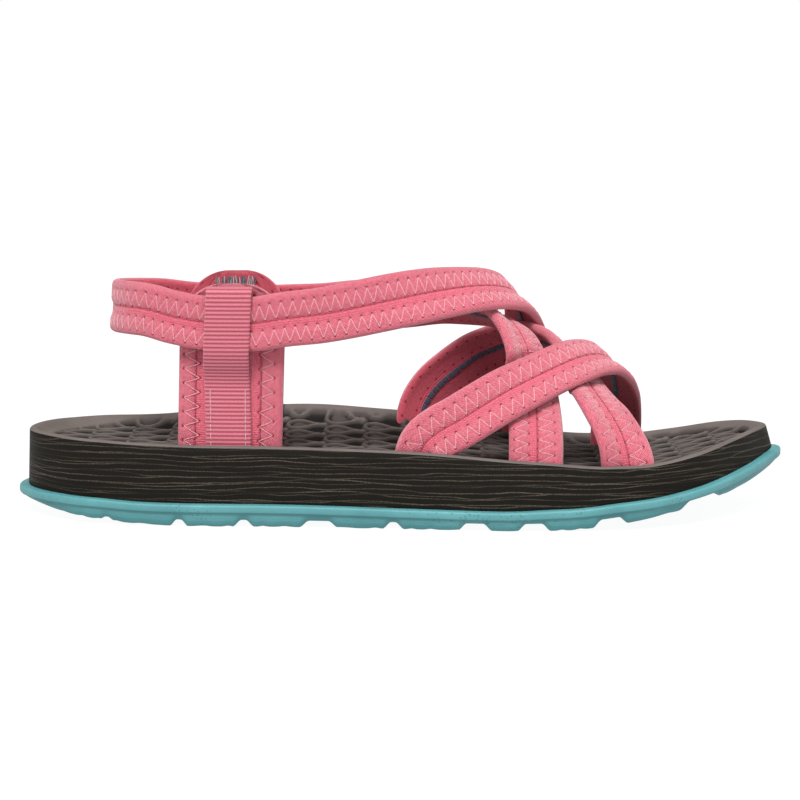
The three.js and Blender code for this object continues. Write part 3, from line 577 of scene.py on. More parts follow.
def last_level(p):
    """How far out in the foot each place lies: under 1 inside it, and over 1 outside."""
    at = 100 * p[:, 0] / SOLE["length"]
    half = smooth_table(LAST[:, 0], LAST[:, 1], at) * SOLE["ball"] / 100
    crest = smooth_table(LAST[:, 0], LAST[:, 2], at) * INSTEP / 100
    back = np.minimum(at - LAST[1, 0], 0) * SOLE["length"] / 100 / HEEL_CURVE
    up = np.maximum(p[:, 2] - (rim_z(share_of(p[:, 0])) - FOOTBED["cup"]), 0) / crest
    return np.hypot(p[:, 1] / half, back) ** 2 + up**2


def last_normal(p):
    """The way straight out of the foot at each place."""
    steps = np.eye(3) * 0.5
    way = np.stack([last_level(p + s) - last_level(p - s) for s in steps], 1)
    return way / np.linalg.norm(way, axis=1, keepdims=True)


def smooth_path(points, spacing):
    """Places at an even spacing on a centripetal spline through the points."""
    p = np.asarray(points, float)
    p = np.concatenate([2 * p[:1] - p[1:2], p, 2 * p[-1:] - p[-2:-1]])
    parts = []
    for p0, p1, p2, p3 in zip(p, p[1:], p[2:], p[3:]):
        d0, d1, d2 = (math.sqrt(np.linalg.norm(b - a)) for a, b in ((p0, p1), (p1, p2), (p2, p3)))
        m1 = ((p1 - p0) / d0 - (p2 - p0) / (d0 + d1) + (p2 - p1) / d1) * d1
        m2 = ((p2 - p1) / d1 - (p3 - p1) / (d1 + d2) + (p3 - p2) / d2) * d1
        t = np.linspace(0, 1, 60, endpoint=False)[:, None]
        bend, ease = 2 * (p1 - p2) + m1 + m2, 3 * (p2 - p1) - 2 * m1 - m2
        parts.append(p1 + m1 * t + ease * t**2 + bend * t**3)
    line = np.concatenate(parts + [p[-2:-1]])
    run = np.concatenate([[0], np.cumsum(np.linalg.norm(np.diff(line, axis=0), axis=1))])
    at = np.linspace(0, run[-1], int(round(run[-1] / spacing)) + 1)
    return at, np.stack([np.interp(at, run, line[:, k]) for k in range(3)], 1)


def strap_route(rows, start, width, period, middle=0.0):
    """A strap's frames every half millimetre, and the zigzag period that fits its length. The strap has
    its start width at its middle, a share of its length, then the other one, and ends in the front width."""
    run, line = smooth_path(np.array(rows) * (SOLE["length"], SOLE["ball"], INSTEP) / 100, 0.5)
    along = np.gradient(line, axis=0)
    along /= np.linalg.norm(along, axis=1, keepdims=True)
    out = last_normal(line)
    out -= (out * along).sum(1, keepdims=True) * along
    out /= np.linalg.norm(out, axis=1, keepdims=True)
    share = run / run[-1]
    toward = np.where(share < middle, (middle - share) / max(middle, 0.01), (share - middle) / (1 - middle))
    half = lerp(start, width, smoothstep(0.22, 0.5, toward))
    half = lerp(half, STRAP["front"], smoothstep(0.6, 0.82, toward)) / 2
    period = run[-1] / round(run[-1] / period)
    return {"run": run, "line": line, "along": along, "out": out, "across": np.cross(along, out),
            "width": width, "half": half, "period": period, "over": [], "turned": -1.0}


def half_at(route, u):
    return np.interp(u, route["run"], route["half"])


def on_route(route, key, u):
    """One of a route's ways or its places, at lengths along it."""
    return np.stack([np.interp(u, route["run"], route[key][:, k]) for k in range(3)], 1)


def pressed(route, u, a):
    """How far each place on the strap's outer face is pushed in by the straps that cross over it."""
    place = on_route(route, "line", u) + on_route(route, "across", u) * a[:, None]
    place = place + on_route(route, "out", u) * (STRAP["thickness"] / 2)
    push = np.zeros_like(place)
    for upper, first in route["over"]:
        part = slice(int(first * 2), None)
        line, out, across = (upper[key][part] for key in ("line", "out", "across"))
        near = np.concatenate([((chunk[:, None] - line[None]) ** 2).sum(2).argmin(1)
                               for chunk in np.array_split(place, max(1, len(place) // 2000))])
        gap = place - line[near]
        aside = abs((gap * across[near]).sum(1))
        level = (gap * out[near]).sum(1)
        half = upper["half"][part][near]
        held = 1 - smoothstep(half - 1.2, half + 3.0, aside)
        close = (np.linalg.norm(gap, axis=1) < 18) & (near > 0) & (near < len(line) - 1)
        if upper is route:
            close &= u < first - 60
        deep = np.where(close, np.maximum(level + STRAP["thickness"] / 2 + 0.1, 0) * held, 0)
        push -= out[near] * deep[:, None]
    return push


def strap_place(route, u, a, o):
    """Places on a strap: along it, across it and out of it, with the crossings pressed flat."""
    u, a, o = (np.asarray(x, float).ravel() for x in np.broadcast_arrays(u, a, o))
    place = on_route(route, "line", u) + on_route(route, "across", u) * a[:, None]
    place = place + on_route(route, "out", u) * o[:, None]
    if route["over"]:
        push = pressed(route, u, a)
        size = np.linalg.norm(push, axis=1)
        inner = 1 - np.clip(o / STRAP["thickness"] + 0.5, 0, 1)
        kept = size - inner * np.minimum(size, 0.45 * STRAP["thickness"])
        place = place + push * (kept / np.maximum(size, 1e-9))[:, None]
    return place


# Where the zigzag rows, the straight seam and the knitted band run, as shares of the width. LEAN is how
# far along its period a zigzag comes down. DENTS has the depth and half width of what the threads pull in.
LEAN = 0.36
STRAP_ROWS = {"zigzags": ((0.175, 0.455), (0.645, 0.895)), "seams": (0.478,), "knits": ((0.488, 0.63),)}
DENTS = {"furrow": (0.24, 0.5), "hole": (0.42, 0.65), "seam": (0.34, 0.42)}
KNIT = {"depth": 0.1, "rib": 0.06, "pitch": 0.8, "edge": 0.02}


def across_share(route, u, a):
    """The share of the width from the strap's upper edge. The weave changes hands under the inner keeper."""
    share = (a / half_at(route, u) + 1) / 2
    return np.where(u < route["turned"], 1 - share, share)


def dent(kind, gap):
    """Depth of a dent at a distance from its middle."""
    depth, half = DENTS[kind]
    return depth * np.exp(-(gap / half) ** 2)


def stitch_relief(rows, v, width, count, period):
    """Height of a stitched face: furrows under the zigzags, needle dimples, seams and knitted bands."""
    height = np.zeros(np.broadcast(v, width, count).shape)
    fall = LEAN * period
    for top, bottom in rows["zigzags"]:
        span = (bottom - top) * width
        down = (v - top) * width
        run = (count - np.floor(count)) * period
        for x0, y0, x1, y1 in ((0, 0, fall, span), (fall, span, period, 0), (fall - period, span, 0, 0),
                               (period, 0, period + fall, span)):
            dx, dy, wx, wy = run - x0, down - y0, x1 - x0, y1 - y0
            t = np.clip((dx * wx + dy * wy) / (wx**2 + wy**2), 0, 1)
            gap = np.hypot(dx - t * wx, dy - t * wy)
            hole = np.minimum(np.hypot(dx, dy), np.hypot(dx - wx, dy - wy))
            height = np.minimum(height, -dent("furrow", gap) - dent("hole", hole))
    for seam in rows["seams"]:
        height = height - dent("seam", (v - seam) * width)
    for start, end in rows["knits"]:
        inside = smoothstep(start, start + KNIT["edge"], v) * (1 - smoothstep(end - KNIT["edge"], end, v))
        ribs = np.cos(2 * np.pi * count * round(period / KNIT["pitch"]))
        height = height - inside * (KNIT["depth"] + KNIT["rib"] * ribs)
    return height


def band_section(half, thickness):
    """Columns round a band: across it, out of it, whether stitches show there, and how many lie outside."""
    roll = thickness / 2
    flat_half = half - roll
    turn = np.linspace(0, np.pi / 2, 7)[:-1]
    flat = np.linspace(-flat_half, flat_half, int(2 * flat_half / 0.42))
    inner = np.linspace(flat_half, -flat_half, 22)
    hollow = -roll + 0.1 * thickness * (1 - np.exp(-((flat_half - abs(inner)) / 1.4) ** 2))
    cos, sin = roll * np.cos(turn), roll * np.sin(turn)
    a = np.concatenate([-flat_half - cos, flat, flat_half + sin[1:],
                        flat_half + cos, inner, -flat_half - sin[1:]])
    o = np.concatenate([sin, roll + 0 * flat, cos[1:], -sin, hollow, -cos[1:]])
    outer = len(turn) * 2 - 1 + len(flat)
    shown = np.zeros(len(a))
    shown[len(turn):len(turn) + len(flat)] = 1
    return a, o, shown, outer


def band_piece(name, grid, a, o, length, count, share, outer, materials):
    """A closed band from a grid of places: a row for each step along it, and a column for each across.
    The weave's UV map is in millimetres, and the stitches' one holds the zigzag's turn and the share."""
    rows, columns = grid.shape[:2]
    index = np.arange(rows * columns).reshape(rows, columns)
    quads = np.stack([index[:-1], index[1:], np.roll(index[1:], -1, 1), np.roll(index[:-1], -1, 1)], -1)
    quads = quads[..., ::-1].reshape(-1, 4)
    mesh = bpy.data.meshes.new(name)
    ends = [index[0].tolist(), index[-1][::-1].tolist()]
    mesh.from_pydata((grid.reshape(-1, 3) * 0.001).tolist(), [], quads.tolist() + ends)
    girth = np.concatenate([[0], np.cumsum(np.hypot(np.diff(a), np.diff(o)))])
    last = np.tile(np.arange(columns) == columns - 1, rows - 1)[:, None]
    row, column = quads // columns, quads % columns
    round_it = np.where(last & (column == 0), girth[-1] + 0.4, girth[column])
    tail = np.zeros((2 * columns, 2))
    share = np.broadcast_to(share, (rows, columns))
    for label, x, y in (("weave", length[row], round_it), ("stitch", count[row], share[row, column])):
        layer = mesh.uv_layers.new(name=label)
        values = np.concatenate([np.stack([x, y], -1).reshape(-1, 2), tail])
        layer.uv.foreach_set("vector", values.astype(np.float32).ravel())
    lined = np.tile((np.arange(columns) >= outer + 2) & (np.arange(columns) < columns - 3), rows - 1)
    for material in materials:
        mesh.materials.append(material)
    mesh.polygons.foreach_set("material_index", np.concatenate([lined, [False, False]]).astype(np.int32))
    turn_outwards(mesh)
    piece = bpy.data.objects.new(name, mesh)
    scene.collection.objects.link(piece)
    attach(piece, "root")
    return piece


weave, given, result = group_of(
    "twill_weave",
    [("Vector", "Vector", None), ("Pitch", "Float", 0.55)],
    [("Height", "Float"), ("Fleck", "Float")])
split = add(weave, "ShaderNodeSeparateXYZ", {0: given["Vector"]}).outputs
waves = []
for sign, stretch in ((1.0, 1.0), (-1.0, 1.7)):
    slant = maths(weave, "DIVIDE", maths(weave, "MULTIPLY_ADD", split["Y"], sign, split["X"]), given["Pitch"])
    waves.append(maths(weave, "SINE", maths(weave, "MULTIPLY", slant, 2 * math.pi / stretch)))
weave.links.new(maths(weave, "MULTIPLY_ADD", waves[1], 0.45, waves[0]), result.inputs["Height"])
weave.links.new(noise(weave, given["Vector"], 1.1, 4.0), result.inputs["Fleck"])

holes, given, result = group_of(
    "needle_holes",
    [("Count", "Float", 0), ("Across", "Float", 0), ("Phase", "Float", 0),
     ("Row", "Float", 0), ("Period", "Float", 4), ("Width", "Float", 19.5)],
    [("Mask", "Float")])
turn = maths(holes, "ADD", maths(holes, "SUBTRACT", given["Count"], given["Phase"]), 0.5)
turn = maths(holes, "SUBTRACT", maths(holes, "FRACT", turn), 0.5)
run = maths(holes, "MULTIPLY", turn, given["Period"])
side = maths(holes, "MULTIPLY", maths(holes, "SUBTRACT", given["Across"], given["Row"]), given["Width"])
both = add(holes, "ShaderNodeCombineXYZ", {0: run, 1: side}).outputs[0]
size = add(holes, "ShaderNodeVectorMath", {0: both}, operation="LENGTH").outputs["Value"]
holes.links.new(spread(holes, size, 0.55, 0.25), result.inputs["Mask"])


def fabric(name, colour, shade, pitch, rows, width, sheen=0.35):
    """Stretch fabric: a diagonal weave with dark needle holes, and seams beside knitted bands."""
    material, tree, main = shader(name, 0.82, Sheen_Weight=sheen, Sheen_Roughness=0.4,
                                  Specular_IOR_Level=0.25)
    cloth = add(tree, "ShaderNodeUVMap", uv_map="weave").outputs[0]
    stitch = add(tree, "ShaderNodeUVMap", uv_map="stitch").outputs[0]
    stitch = add(tree, "ShaderNodeSeparateXYZ", {0: stitch}).outputs
    yarn = add(tree, "ShaderNodeGroup", {"Vector": cloth, "Pitch": pitch}, node_tree=weave).outputs
    height = yarn["Height"]
    fleck = spread(tree, yarn["Fleck"], 0.3, 0.7, -0.3, 0.3)
    amount = maths(tree, "ADD", spread(tree, height, -1.4, 1.4), fleck, use_clamp=True)
    ink = mix(tree, amount, shade, colour)
    for start, end in rows["knits"]:
        inside = spread(tree, stitch["Y"], start, start + 0.012)
        inside = maths(tree, "MULTIPLY", inside, spread(tree, stitch["Y"], end, end - 0.012))
        dots = add(tree, "ShaderNodeTexVoronoi", {"Vector": cloth, "Scale": 1.25, "Randomness": 0.25})
        dots = dots.outputs["Distance"]
        rib = spread(tree, dots, 0.15, 0.6, 1.0, -1.0)
        height = add(tree, "ShaderNodeMix", {"Factor": inside, 2: height, 3: rib}).outputs[0]
        ink = mix(tree, maths(tree, "MULTIPLY", inside, dots), ink, shade)
    masks = []
    for top, bottom in rows["zigzags"]:
        for row, phase in ((top - 0.2 / width, 0.0), (bottom + 0.2 / width, LEAN)):
            hole = add(tree, "ShaderNodeGroup", {"Count": stitch["X"], "Across": stitch["Y"], "Phase": phase,
                                                 "Row": row, "Width": width}, node_tree=holes)
            masks.append(hole.outputs[0])
    for seam in rows["seams"]:
        near = maths(tree, "ABSOLUTE", maths(tree, "SUBTRACT", stitch["Y"], seam))
        masks.append(spread(tree, near, 0.42 / width, 0.14 / width, 0.0, 0.8))
    for mask in masks:
        ink = mix(tree, mask, ink, (0.30, 0.010, 0.03, 1))
    dress(tree, main, ink, height, 0.8, 0.00013)
    return material


PINK = (0.74, 0.21, 0.265, 1)
DEEP_PINK = (0.47, 0.066, 0.105, 1)
LINING = (0.74, 0.13, 0.175, 1)
DEEP_LINING = (0.52, 0.06, 0.095, 1)
outer_cloth = fabric("strap_outer_fabric", PINK, DEEP_PINK, 0.62, STRAP_ROWS, 19.5)
inner_cloth = fabric("strap_lining", LINING, DEEP_LINING, 0.5, STRAP_ROWS, 19.5, sheen=0.15)


def cushion(v):
    """How far the outer face swells over the padding on each side of the knitted band."""
    return 0.12 - 0.62 * (smoothstep(0.34, 0.478, v) - smoothstep(0.63, 0.77, v))


def strap_piece(name, route):
    """One strap as a closed body, with its end faces inside the sole."""
    a, o, shown, outer = band_section(route["width"] / 2, STRAP["thickness"])
    u = np.linspace(0, route["run"][-1], int(route["run"][-1] / 0.5) + 1)
    half = half_at(route, u)[:, None]
    grid_u = u[:, None] + 0 * a
    grid_a = a * half / (route["width"] / 2)
    share = across_share(route, grid_u, grid_a)
    relief = stitch_relief(STRAP_ROWS, share, 2 * half, grid_u / route["period"], route["period"])
    raised = o + shown * (relief + cushion(share))
    grid = strap_place(route, grid_u, grid_a, raised).reshape(len(u), len(a), 3)
    piece = band_piece(name, grid, a, o, u, u / route["period"], share, outer, (outer_cloth, inner_cloth))
    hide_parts("upper_straps")


front_over = strap_route(FRONT_OVER, STRAP["front"], STRAP["front"], 4.3)
front_under = strap_route(FRONT_UNDER, STRAP["front"], STRAP["front"], 4.3)
ankle = strap_route(ANKLE_MEDIAL[::-1] + ANKLE_LATERAL[1:], STRAP["heel"], STRAP["ankle"], 3.7, middle=0.49)
heel = float(ankle["run"][ankle["line"][:, 0].argmin()])
ankle["turned"] = float(ankle["run"][abs(ankle["line"][:, 0] + 61)[: int(heel * 2)].argmin()])
ankle["over"] = [(ankle, heel), (front_over, 0)]
front_under["over"] = [(ankle, heel), (front_over, 0)]
ROUTES = {"front_strap_over": front_over, "front_strap_under": front_under, "ankle_strap": ankle}
for name, route in ROUTES.items():
    strap_piece(name, route)


# Stitching of the straps. Pale pink thread in two zigzag rows, a darker straight seam beside them,
# and a row of slate-blue binding blocks along the middle of the lining. All of it is sewn through.

# The binding's threads lie side by side in blocks, which leave out one thread in every five.
SEAM = {"pitch": 2.6, "stitch": 2.1}
BINDING = {"pitch": 0.55, "half": 1.0, "depth": 1.5, "block": 5}


def stitches_tree():
    """Lays one thread over each edge of a mesh, standing out along the named way."""
    tree, given, result = group_of(
        "sewn_stitches",
        [("Geometry", "Geometry", None), ("Thickness", "Float", 0.0004), ("Rise", "Float", 0.0003),
         ("Sink", "Float", 0.0003), ("Thread", "Material", None)],
        [("Geometry", "Geometry")], "GeometryNodeTree")
    ends = add(tree, "GeometryNodeInputMeshEdgeVertices").outputs
    way = add(tree, "ShaderNodeVectorMath", {0: ends["Position 2"], 1: ends["Position 1"]},
              operation="SUBTRACT").outputs[0]
    size = add(tree, "ShaderNodeVectorMath", {0: way}, operation="LENGTH")
    facing = add(tree, "GeometryNodeInputNamedAttribute", {"Name": "way_out"}, data_type="FLOAT_VECTOR")
    keep = add(tree, "GeometryNodeCaptureAttribute", {"Geometry": given["Geometry"]}, domain="EDGE")
    for kind, label, value in (("VECTOR", "Way", way), ("FLOAT", "Length", size.outputs["Value"]),
                               ("VECTOR", "Out", facing.outputs["Attribute"])):
        keep.capture_items.new(kind, label)
        tree.links.new(value, keep.inputs[label])
    kept = keep.outputs
    spots = add(tree, "GeometryNodeMeshToPoints", {"Mesh": kept["Geometry"]}, mode="EDGES")
    turn = add(tree, "FunctionNodeAxesToRotation",
               {"Primary Axis": kept["Way"], "Secondary Axis": kept["Out"]},
               primary_axis="X", secondary_axis="Z")
    low = maths(tree, "MULTIPLY", given["Sink"], -1.0)
    start = add(tree, "ShaderNodeCombineXYZ", {0: -0.5, 2: low})
    stop = add(tree, "ShaderNodeCombineXYZ", {0: 0.5, 2: low})
    peak = add(tree, "ShaderNodeCombineXYZ", {2: given["Rise"]})
    bow = add(tree, "GeometryNodeCurveQuadraticBezier", {"Resolution": 5, "Start": start.outputs[0],
                                                         "Middle": peak.outputs[0], "End": stop.outputs[0]})
    round_thread = add(tree, "GeometryNodeCurvePrimitiveCircle", {"Resolution": 6})
    tree.links.new(maths(tree, "MULTIPLY", given["Thickness"], 0.5), round_thread.inputs["Radius"])
    thread = add(tree, "GeometryNodeCurveToMesh", {"Curve": bow.outputs[0], "Fill Caps": True,
                                                   "Profile Curve": round_thread.outputs[0]})
    scale = add(tree, "ShaderNodeCombineXYZ", {0: kept["Length"], 1: 1.0, 2: 1.0})
    laid = add(tree, "GeometryNodeInstanceOnPoints",
               {"Points": spots.outputs[0], "Instance": thread.outputs[0], "Rotation": turn.outputs[0],
                "Scale": scale.outputs[0]}).outputs[0]
    made = add(tree, "GeometryNodeRealizeInstances", {0: laid}).outputs[0]
    smooth = add(tree, "GeometryNodeSetShadeSmooth", {0: made}).outputs[0]
    painted = add(tree, "GeometryNodeSetMaterial", {"Geometry": smooth, "Material": given["Thread"]})
    tree.links.new(painted.outputs[0], result.inputs[0])
    return tree


sewn_stitches = stitches_tree()


def sew(name, starts, stops, outs, material, slot, **sizes):
    """Runs the stitch tree over pairs of places in millimetres, and keeps the result as a plain mesh."""
    count = len(starts)
    mesh = bpy.data.meshes.new(name)
    points = np.stack([starts, stops], 1).reshape(-1, 3) * 0.001
    mesh.from_pydata(points.tolist(), [(2 * i, 2 * i + 1) for i in range(count)], [])
    way = mesh.attributes.new("way_out", "FLOAT_VECTOR", "POINT")
    way.data.foreach_set("vector", np.repeat(outs, 2, axis=0).astype(np.float32).ravel())
    guide = bpy.data.objects.new(name, mesh)
    scene.collection.objects.link(guide)
    modifier = guide.modifiers.new("stitches", "NODES")
    modifier.node_group = sewn_stitches
    values = {"Thread": material, **sizes}
    for item in sewn_stitches.interface.items_tree:
        if item.item_type == "SOCKET" and item.in_out == "INPUT" and item.name in values:
            modifier[item.identifier] = values[item.name]
    bpy.context.view_layer.update()
    made = bpy.data.meshes.new_from_object(guide.evaluated_get(bpy.context.evaluated_depsgraph_get()))
    guide.modifiers.clear()
    guide.data = made
    made.name = name
    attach(guide, "root")


def thread_material(name, colour):
    material, tree, main = shader(name, 0.55, Sheen_Weight=0.3)
    place = add(tree, "ShaderNodeTexCoord").outputs["Object"]
    twist = noise(tree, place, 1800.0, 2.0)
    ink = mix(tree, 1.0, colour, spread(tree, twist, 0.3, 0.7, 0.75, 1.1), blend_type="MULTIPLY")
    dress(tree, main, ink, twist, 0.4, 0.0001)
    return material


pale_thread = thread_material("pale_pink_thread", (0.70, 0.31, 0.35, 1))
slate_thread = thread_material("slate_blue_thread", (0.055, 0.075, 0.115, 1))
white_thread = thread_material("pale_grey_thread", (0.50, 0.34, 0.34, 1))
seam_thread = thread_material("deep_pink_thread", (0.42, 0.025, 0.06, 1))


def strap_spots(route, u, share, height):
    """Places on a strap's outer face at shares of its width, with the way out of it."""
    u, share = np.asarray(u, float), np.asarray(share, float)
    swell = cushion(share)
    share = np.where(u < route["turned"], 1 - share, share)
    a = (2 * share - 1) * half_at(route, u)
    return strap_place(route, u, a, STRAP["thickness"] / 2 + swell + height), on_route(route, "out", u)


def zigzag(spots, rows, period, count, name, **sizes):
    """Sews every zigzag row of a face. spots gives places on the face from a run and a share."""
    begin = np.arange(count) * period
    ends = []
    for top, bottom in rows["zigzags"]:
        for u0, v0, u1, v1 in ((0, top, LEAN, bottom), (LEAN, bottom, 1, top)):
            start, way = spots(begin + u0 * period, np.full(count, v0))
            stop, _ = spots(begin + u1 * period, np.full(count, v1))
            ends.append((start, stop, way))
    sew(name, *(np.concatenate(part) for part in zip(*ends)), pale_thread, "strap_fabric", **sizes)


for name, route in ROUTES.items():
    last = route["run"][-1]
    zigzag(lambda u, v: strap_spots(route, np.minimum(u, last), v, -0.04), STRAP_ROWS, route["period"],
           int(round(last / route["period"])), name + "_zigzag", Thickness=0.00029, Rise=0.0006, Sink=0.00025)
    begin = np.arange(int(last / SEAM["pitch"])) * SEAM["pitch"] + 0.4
    middle = np.full(len(begin), STRAP_ROWS["seams"][0])
    start, way = strap_spots(route, begin, middle, -0.3)
    stop, _ = strap_spots(route, begin + SEAM["stitch"], middle, -0.3)
    sew(name + "_seam", start, stop, way, seam_thread, "strap_fabric",
        Thickness=0.00045, Rise=0.0003, Sink=0.0001)
    threads = np.arange(int(last / BINDING["pitch"]))
    threads = threads[threads % BINDING["block"] < BINDING["block"] - 1] * BINDING["pitch"] + 0.3
    sides = [strap_place(route, threads, side * BINDING["half"], -BINDING["depth"]) for side in (-1, 1)]
    sew(name + "_binding", *sides, -on_route(route, "out", threads), slate_thread, "strap_fabric",
        Thickness=0.0006, Rise=0.0004, Sink=-0.0001)


# Side straps. An upright band on each side of the heel, with a rounded top, sewn like the straps and
# moulded into the sole. The ankle strap passes over its outer face.
SIDE = {"width": 35.6, "thickness": 2.4, "top": 81.6, "base": 17, "corner": 15, "lean": 1.8, "period": 4.9}
SIDE_CENTRE = {-1: -58.9, 1: -61.2}
ANKLE = {"half": 28.8, "widest": -53, "reach": 24, "curve": 3.2, "waist": (0.0, 3.2), "from": 20, "to": 56}
SIDE_ROWS = {"zigzags": ((0.055, 0.2), (0.775, 0.905)), "seams": (0.165, 0.785),
             "knits": ((0.17, 0.275), (0.7, 0.78))}
# The bar tacks that hold the keeper's end: lower and upper height, first place and unevenness.
TACK = {"low": 74.9, "high": 79.2, "first": -7.2, "uneven": 0.5}
SIDES = {"lateral": -1, "medial": 1}


def ankle_side(side, x, z):
    """Where the ankle's side lies, at a place along the foot and a height."""
    bow = ANKLE["curve"] * ((x - ANKLE["widest"]) / ANKLE["reach"]) ** 2
    waist = ANKLE["waist"][side > 0] * (1 - smoothstep(ANKLE["from"], ANKLE["to"], z))
    return side * (ANKLE["half"] - bow - waist)


def side_half(z):
    up = np.clip((z - (SIDE["top"] - SIDE["corner"])) / SIDE["corner"], 0, 1)
    return SIDE["width"] / 2 - SIDE["corner"] * (1 - np.sqrt(1 - up**2))


def side_place(side, z, a, o):
    """Places on a side strap: its height, millimetres across from its middle, and out of it."""
    x = SIDE_CENTRE[side] + SIDE["lean"] * (z - SIDE["base"]) / (SIDE["top"] - SIDE["base"]) + a
    return np.stack(np.broadcast_arrays(x, ankle_side(side, x, z) + side * o, z), -1)


side_outer = fabric("side_strap_fabric", PINK, DEEP_PINK, 0.6, SIDE_ROWS, SIDE["width"])
side_inner = fabric("side_strap_lining", LINING, DEEP_LINING, 0.5, SIDE_ROWS, SIDE["width"], sheen=0.15)
for label, side in SIDES.items():
    name = "side_strap_" + label
    a, o, shown, outer = band_section(SIDE["width"] / 2, SIDE["thickness"])
    straight = np.arange(SIDE["base"], SIDE["top"] - SIDE["corner"], 0.5)
    bend = SIDE["top"] - SIDE["corner"] * (1 - np.sin(np.linspace(0, math.radians(87), 46)))
    z = np.concatenate([straight, bend])[:, None]
    half = side_half(z)
    share = (a / (SIDE["width"] / 2) + 1) / 2
    count = (z - SIDE["base"] - 1.4) / SIDE["period"]
    relief = stitch_relief(SIDE_ROWS, share, 2 * half, count, SIDE["period"])
    thin = np.sqrt(np.clip((SIDE["top"] - z) / 1.2, 0.02, 1))
    swell = 0.15 - 0.3 * (smoothstep(0.1, 0.17, share) - smoothstep(0.78, 0.86, share))
    grid = side_place(side, z, a * half / (SIDE["width"] / 2), (o + shown * (relief + swell)) * thin)
    piece = band_piece("padded_" + name, grid, a, o, z[:, 0], count[:, 0], share, outer,
                       (side_outer, side_inner))
    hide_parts(name)
    count = int((SIDE["top"] - 3 - SIDE["base"]) / SIDE["period"])

    def face(u, v):
        z = SIDE["base"] + 1.4 + u
        place = side_place(side, z, (2 * v - 1) * side_half(z), SIDE["thickness"] / 2 + 0.1)
        return place, np.tile((0.0, side, 0.0), (len(u), 1))

    zigzag(face, SIDE_ROWS, SIDE["period"], count, name + "_zigzag",
           Thickness=0.00029, Rise=0.0005, Sink=0.00025)
    begin = np.arange(int((SIDE["top"] - 8 - SIDE["base"]) / SEAM["pitch"])) * SEAM["pitch"]
    ends = [face(np.concatenate([begin + shift] * 2), np.repeat(SIDE_ROWS["seams"], len(begin)))
            for shift in (0, SEAM["stitch"])]
    sew(name + "_seams", ends[0][0], ends[1][0], ends[0][1], seam_thread, "strap_fabric",
        Thickness=0.0004, Rise=0.00025, Sink=0.0002)
    back = -SIDE["thickness"] / 2 - 0.05
    for count, pitch, colour, part in ((19, 0.76, slate_thread, "under"), (15, 0.97, white_thread, "over")):
        tack = np.arange(count)
        x = TACK["first"] + tack * pitch + 0.2 * np.sin(2.4 * tack)
        low = side_place(side, TACK["low"] + TACK["uneven"] * np.sin(3.1 * tack), x, back)
        high = side_place(side, TACK["high"] + TACK["uneven"] * np.cos(2.3 * tack),
                          x + 0.9 * np.sin(5.3 * tack), back)
        inwards = np.tile((0.0, -side, 0.0), (count, 1))
        sew(name + "_tack_" + part, low, high, inwards, colour, "strap_fabric",
            Thickness=0.0004, Rise=0.0004, Sink=0.0)


# Keepers. Ribbed webbing sewn up the middle of each side strap, then looped over the ankle strap and
# tucked down behind it, where a bar tack holds its end.
KEEPER = {"width": 15.4, "thickness": 1.2, "offset": 0.2, "sewn_to": 48.4, "lift": 14, "inner_leg": 11,
          "slack": 2, "rib": 1.38, "yarn": 0.42, "clearance": 0.3}
BOX_STITCH = {"half": 5.9, "pitch": 2.95, "stitch": 2.4, "foot": 17.0}

webbing, tree, main = shader("ribbed_webbing", 0.7, Sheen_Weight=0.25, Specular_IOR_Level=0.3)
cloth = add(tree, "ShaderNodeUVMap", uv_map="weave").outputs[0]
split = add(tree, "ShaderNodeSeparateXYZ", {0: cloth}).outputs
# The valleys between the ribs are painted a much darker pink than the rib tops: painted shade in the grooves.
valley_shade = maths(tree, "SINE", maths(tree, "MULTIPLY", split["X"], math.pi / KEEPER["rib"]))
valley_shade = maths(tree, "POWER", valley_shade, 2.0)
cross = maths(tree, "SINE", maths(tree, "MULTIPLY", split["Y"], 2 * math.pi / KEEPER["yarn"]))
ink = mix(tree, valley_shade, (0.66, 0.185, 0.235, 1), (0.31, 0.048, 0.08, 1))
fleck = spread(tree, noise(tree, cloth, 3.4, 2.0), 0.35, 0.65, 0.72, 1.14)
ink = mix(tree, 1.0, ink, fleck, blend_type="MULTIPLY")
dress(tree, main, ink, cross, 0.5, 0.0001)


def keeper_path(top):
    """Out of the ankle, up and along it: sewn flat, out round the strap, over it, and down behind."""
    k = KEEPER
    sewn = SIDE["thickness"] / 2 + k["clearance"] + k["thickness"] / 2
    gap = SIDE["thickness"] / 2 + 2 * k["clearance"] + k["thickness"] + STRAP["thickness"] / 2
    outside = gap + STRAP["thickness"] / 2 + k["clearance"] + k["thickness"] / 2
    crest = top + k["clearance"] + k["slack"] + k["thickness"] / 2
    crown = (outside + sewn) / 2
    rise = k["sewn_to"]
    return [(sewn, SIDE["base"], 0), (sewn, 30, -0.2), (sewn, rise - 6, -0.4), (sewn, rise - 1, -0.5),
            (lerp(sewn, outside, 0.2), rise + k["lift"] * 0.19, -0.6),
            (lerp(sewn, outside, 0.62), rise + k["lift"] * 0.46, -0.6),
            (lerp(sewn, outside, 0.93), rise + k["lift"] * 0.73, -0.5), (outside, rise + k["lift"], -0.3),
            (outside, crest - 2.4, 0.5), (lerp(crown, outside, 0.75), crest - 0.8, 0.6), (crown, crest, 0.6),
            (lerp(crown, sewn, 0.75), crest - 0.8, 0.6), (sewn, crest - 2.4, 0.5),
            (sewn, crest - k["inner_leg"], 0.4)]


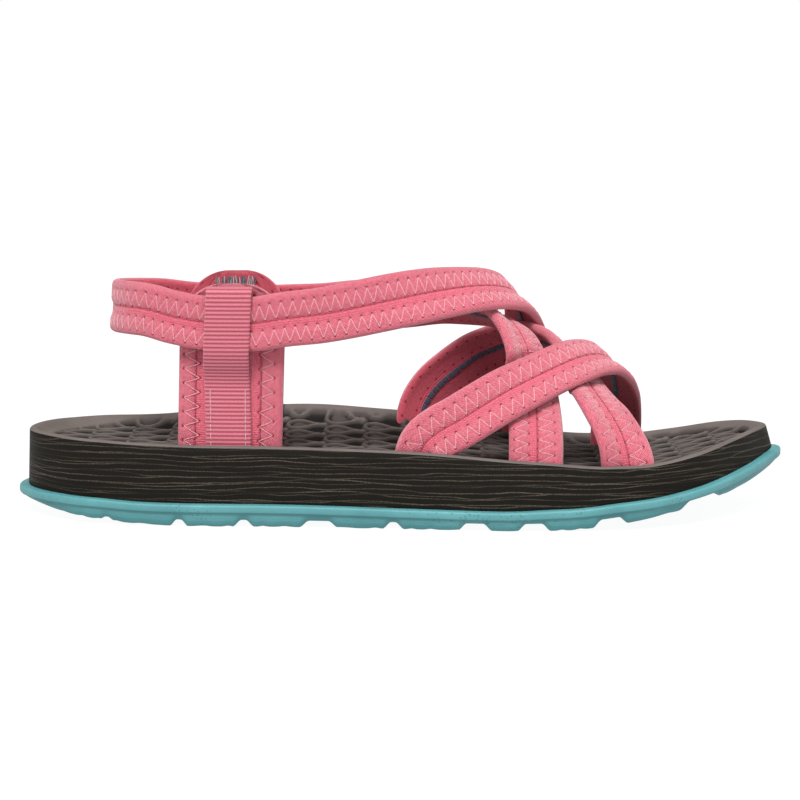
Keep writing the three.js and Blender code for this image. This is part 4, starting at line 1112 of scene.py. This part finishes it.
for label, side in SIDES.items():
    name = "keeper_" + label
    table = np.array((ANKLE_LATERAL if side < 0 else ANKLE_MEDIAL)[:12])
    centre = SIDE_CENTRE[side] + KEEPER["offset"]
    level = float(smooth_table(table[:, 0], table[:, 2], 100 * SIDE_CENTRE[side] / SOLE["length"]))
    run, path = smooth_path(keeper_path(level * INSTEP / 100 + STRAP["heel"] / 2), 0.19)
    ahead = np.gradient(path, axis=0)
    ahead /= np.linalg.norm(ahead, axis=1, keepdims=True)
    rib = abs(np.cos(np.pi * run / KEEPER["rib"]))[:, None] ** 0.55
    across = np.linspace(-1, 1, 37)
    face = np.where(abs(across) > 0.99, 0.45, 1) * KEEPER["thickness"] / 2
    a = np.concatenate([across, across[::-1]]) * KEEPER["width"] / 2
    o = np.concatenate([face, -face])
    out = o * (0.78 + 0.28 * rib)
    wide = centre + path[:, 2:3] + a * (0.985 + 0.015 * rib)
    z = path[:, 1:2] - out * ahead[:, 0:1]
    y = ankle_side(side, wide, z) + side * (path[:, 0:1] + out * ahead[:, 1:2])
    grid = np.stack([wide, y, z], -1)
    piece = band_piece("webbing_" + name, grid, a, o, run, run, a / KEEPER["width"] + 0.5, 37,
                       (webbing, webbing))
    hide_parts(name)
    outside = SIDE["thickness"] / 2 + KEEPER["clearance"] + KEEPER["thickness"]
    up = np.arange(11) * BOX_STITCH["pitch"] + BOX_STITCH["foot"]
    up = up[up < KEEPER["sewn_to"] - 2.6]
    row = np.arange(4) * BOX_STITCH["pitch"] - 5.8
    starts = [(x, z) for x in (-BOX_STITCH["half"], BOX_STITCH["half"]) for z in up]
    steps = [(0, BOX_STITCH["stitch"])] * len(starts) + [(BOX_STITCH["stitch"], 0)] * len(row)
    starts = np.array(starts + [(x, KEEPER["sewn_to"]) for x in row])
    stops = starts + steps

    def box(flat, level):
        x, z = centre - 0.3 + flat[:, 0], flat[:, 1]
        return np.stack([x, ankle_side(side, x, z) + side * level, z], -1)

    for where, depth, way in (("outer", outside, side), ("inner", -SIDE["thickness"] / 2, -side)):
        outs = np.tile((0.0, way, 0.0), (len(starts), 1))
        sew(name + "_box_stitch_" + where, box(starts, depth), box(stops, depth), outs, white_thread,
            "webbing", Thickness=0.00028, Rise=0.0003, Sink=0.0001)


# finish
def plain(box):
    return [[float(x) for x in corner] for corner in box]


{"cad": plain(cad_box), "visual": plain(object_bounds())}
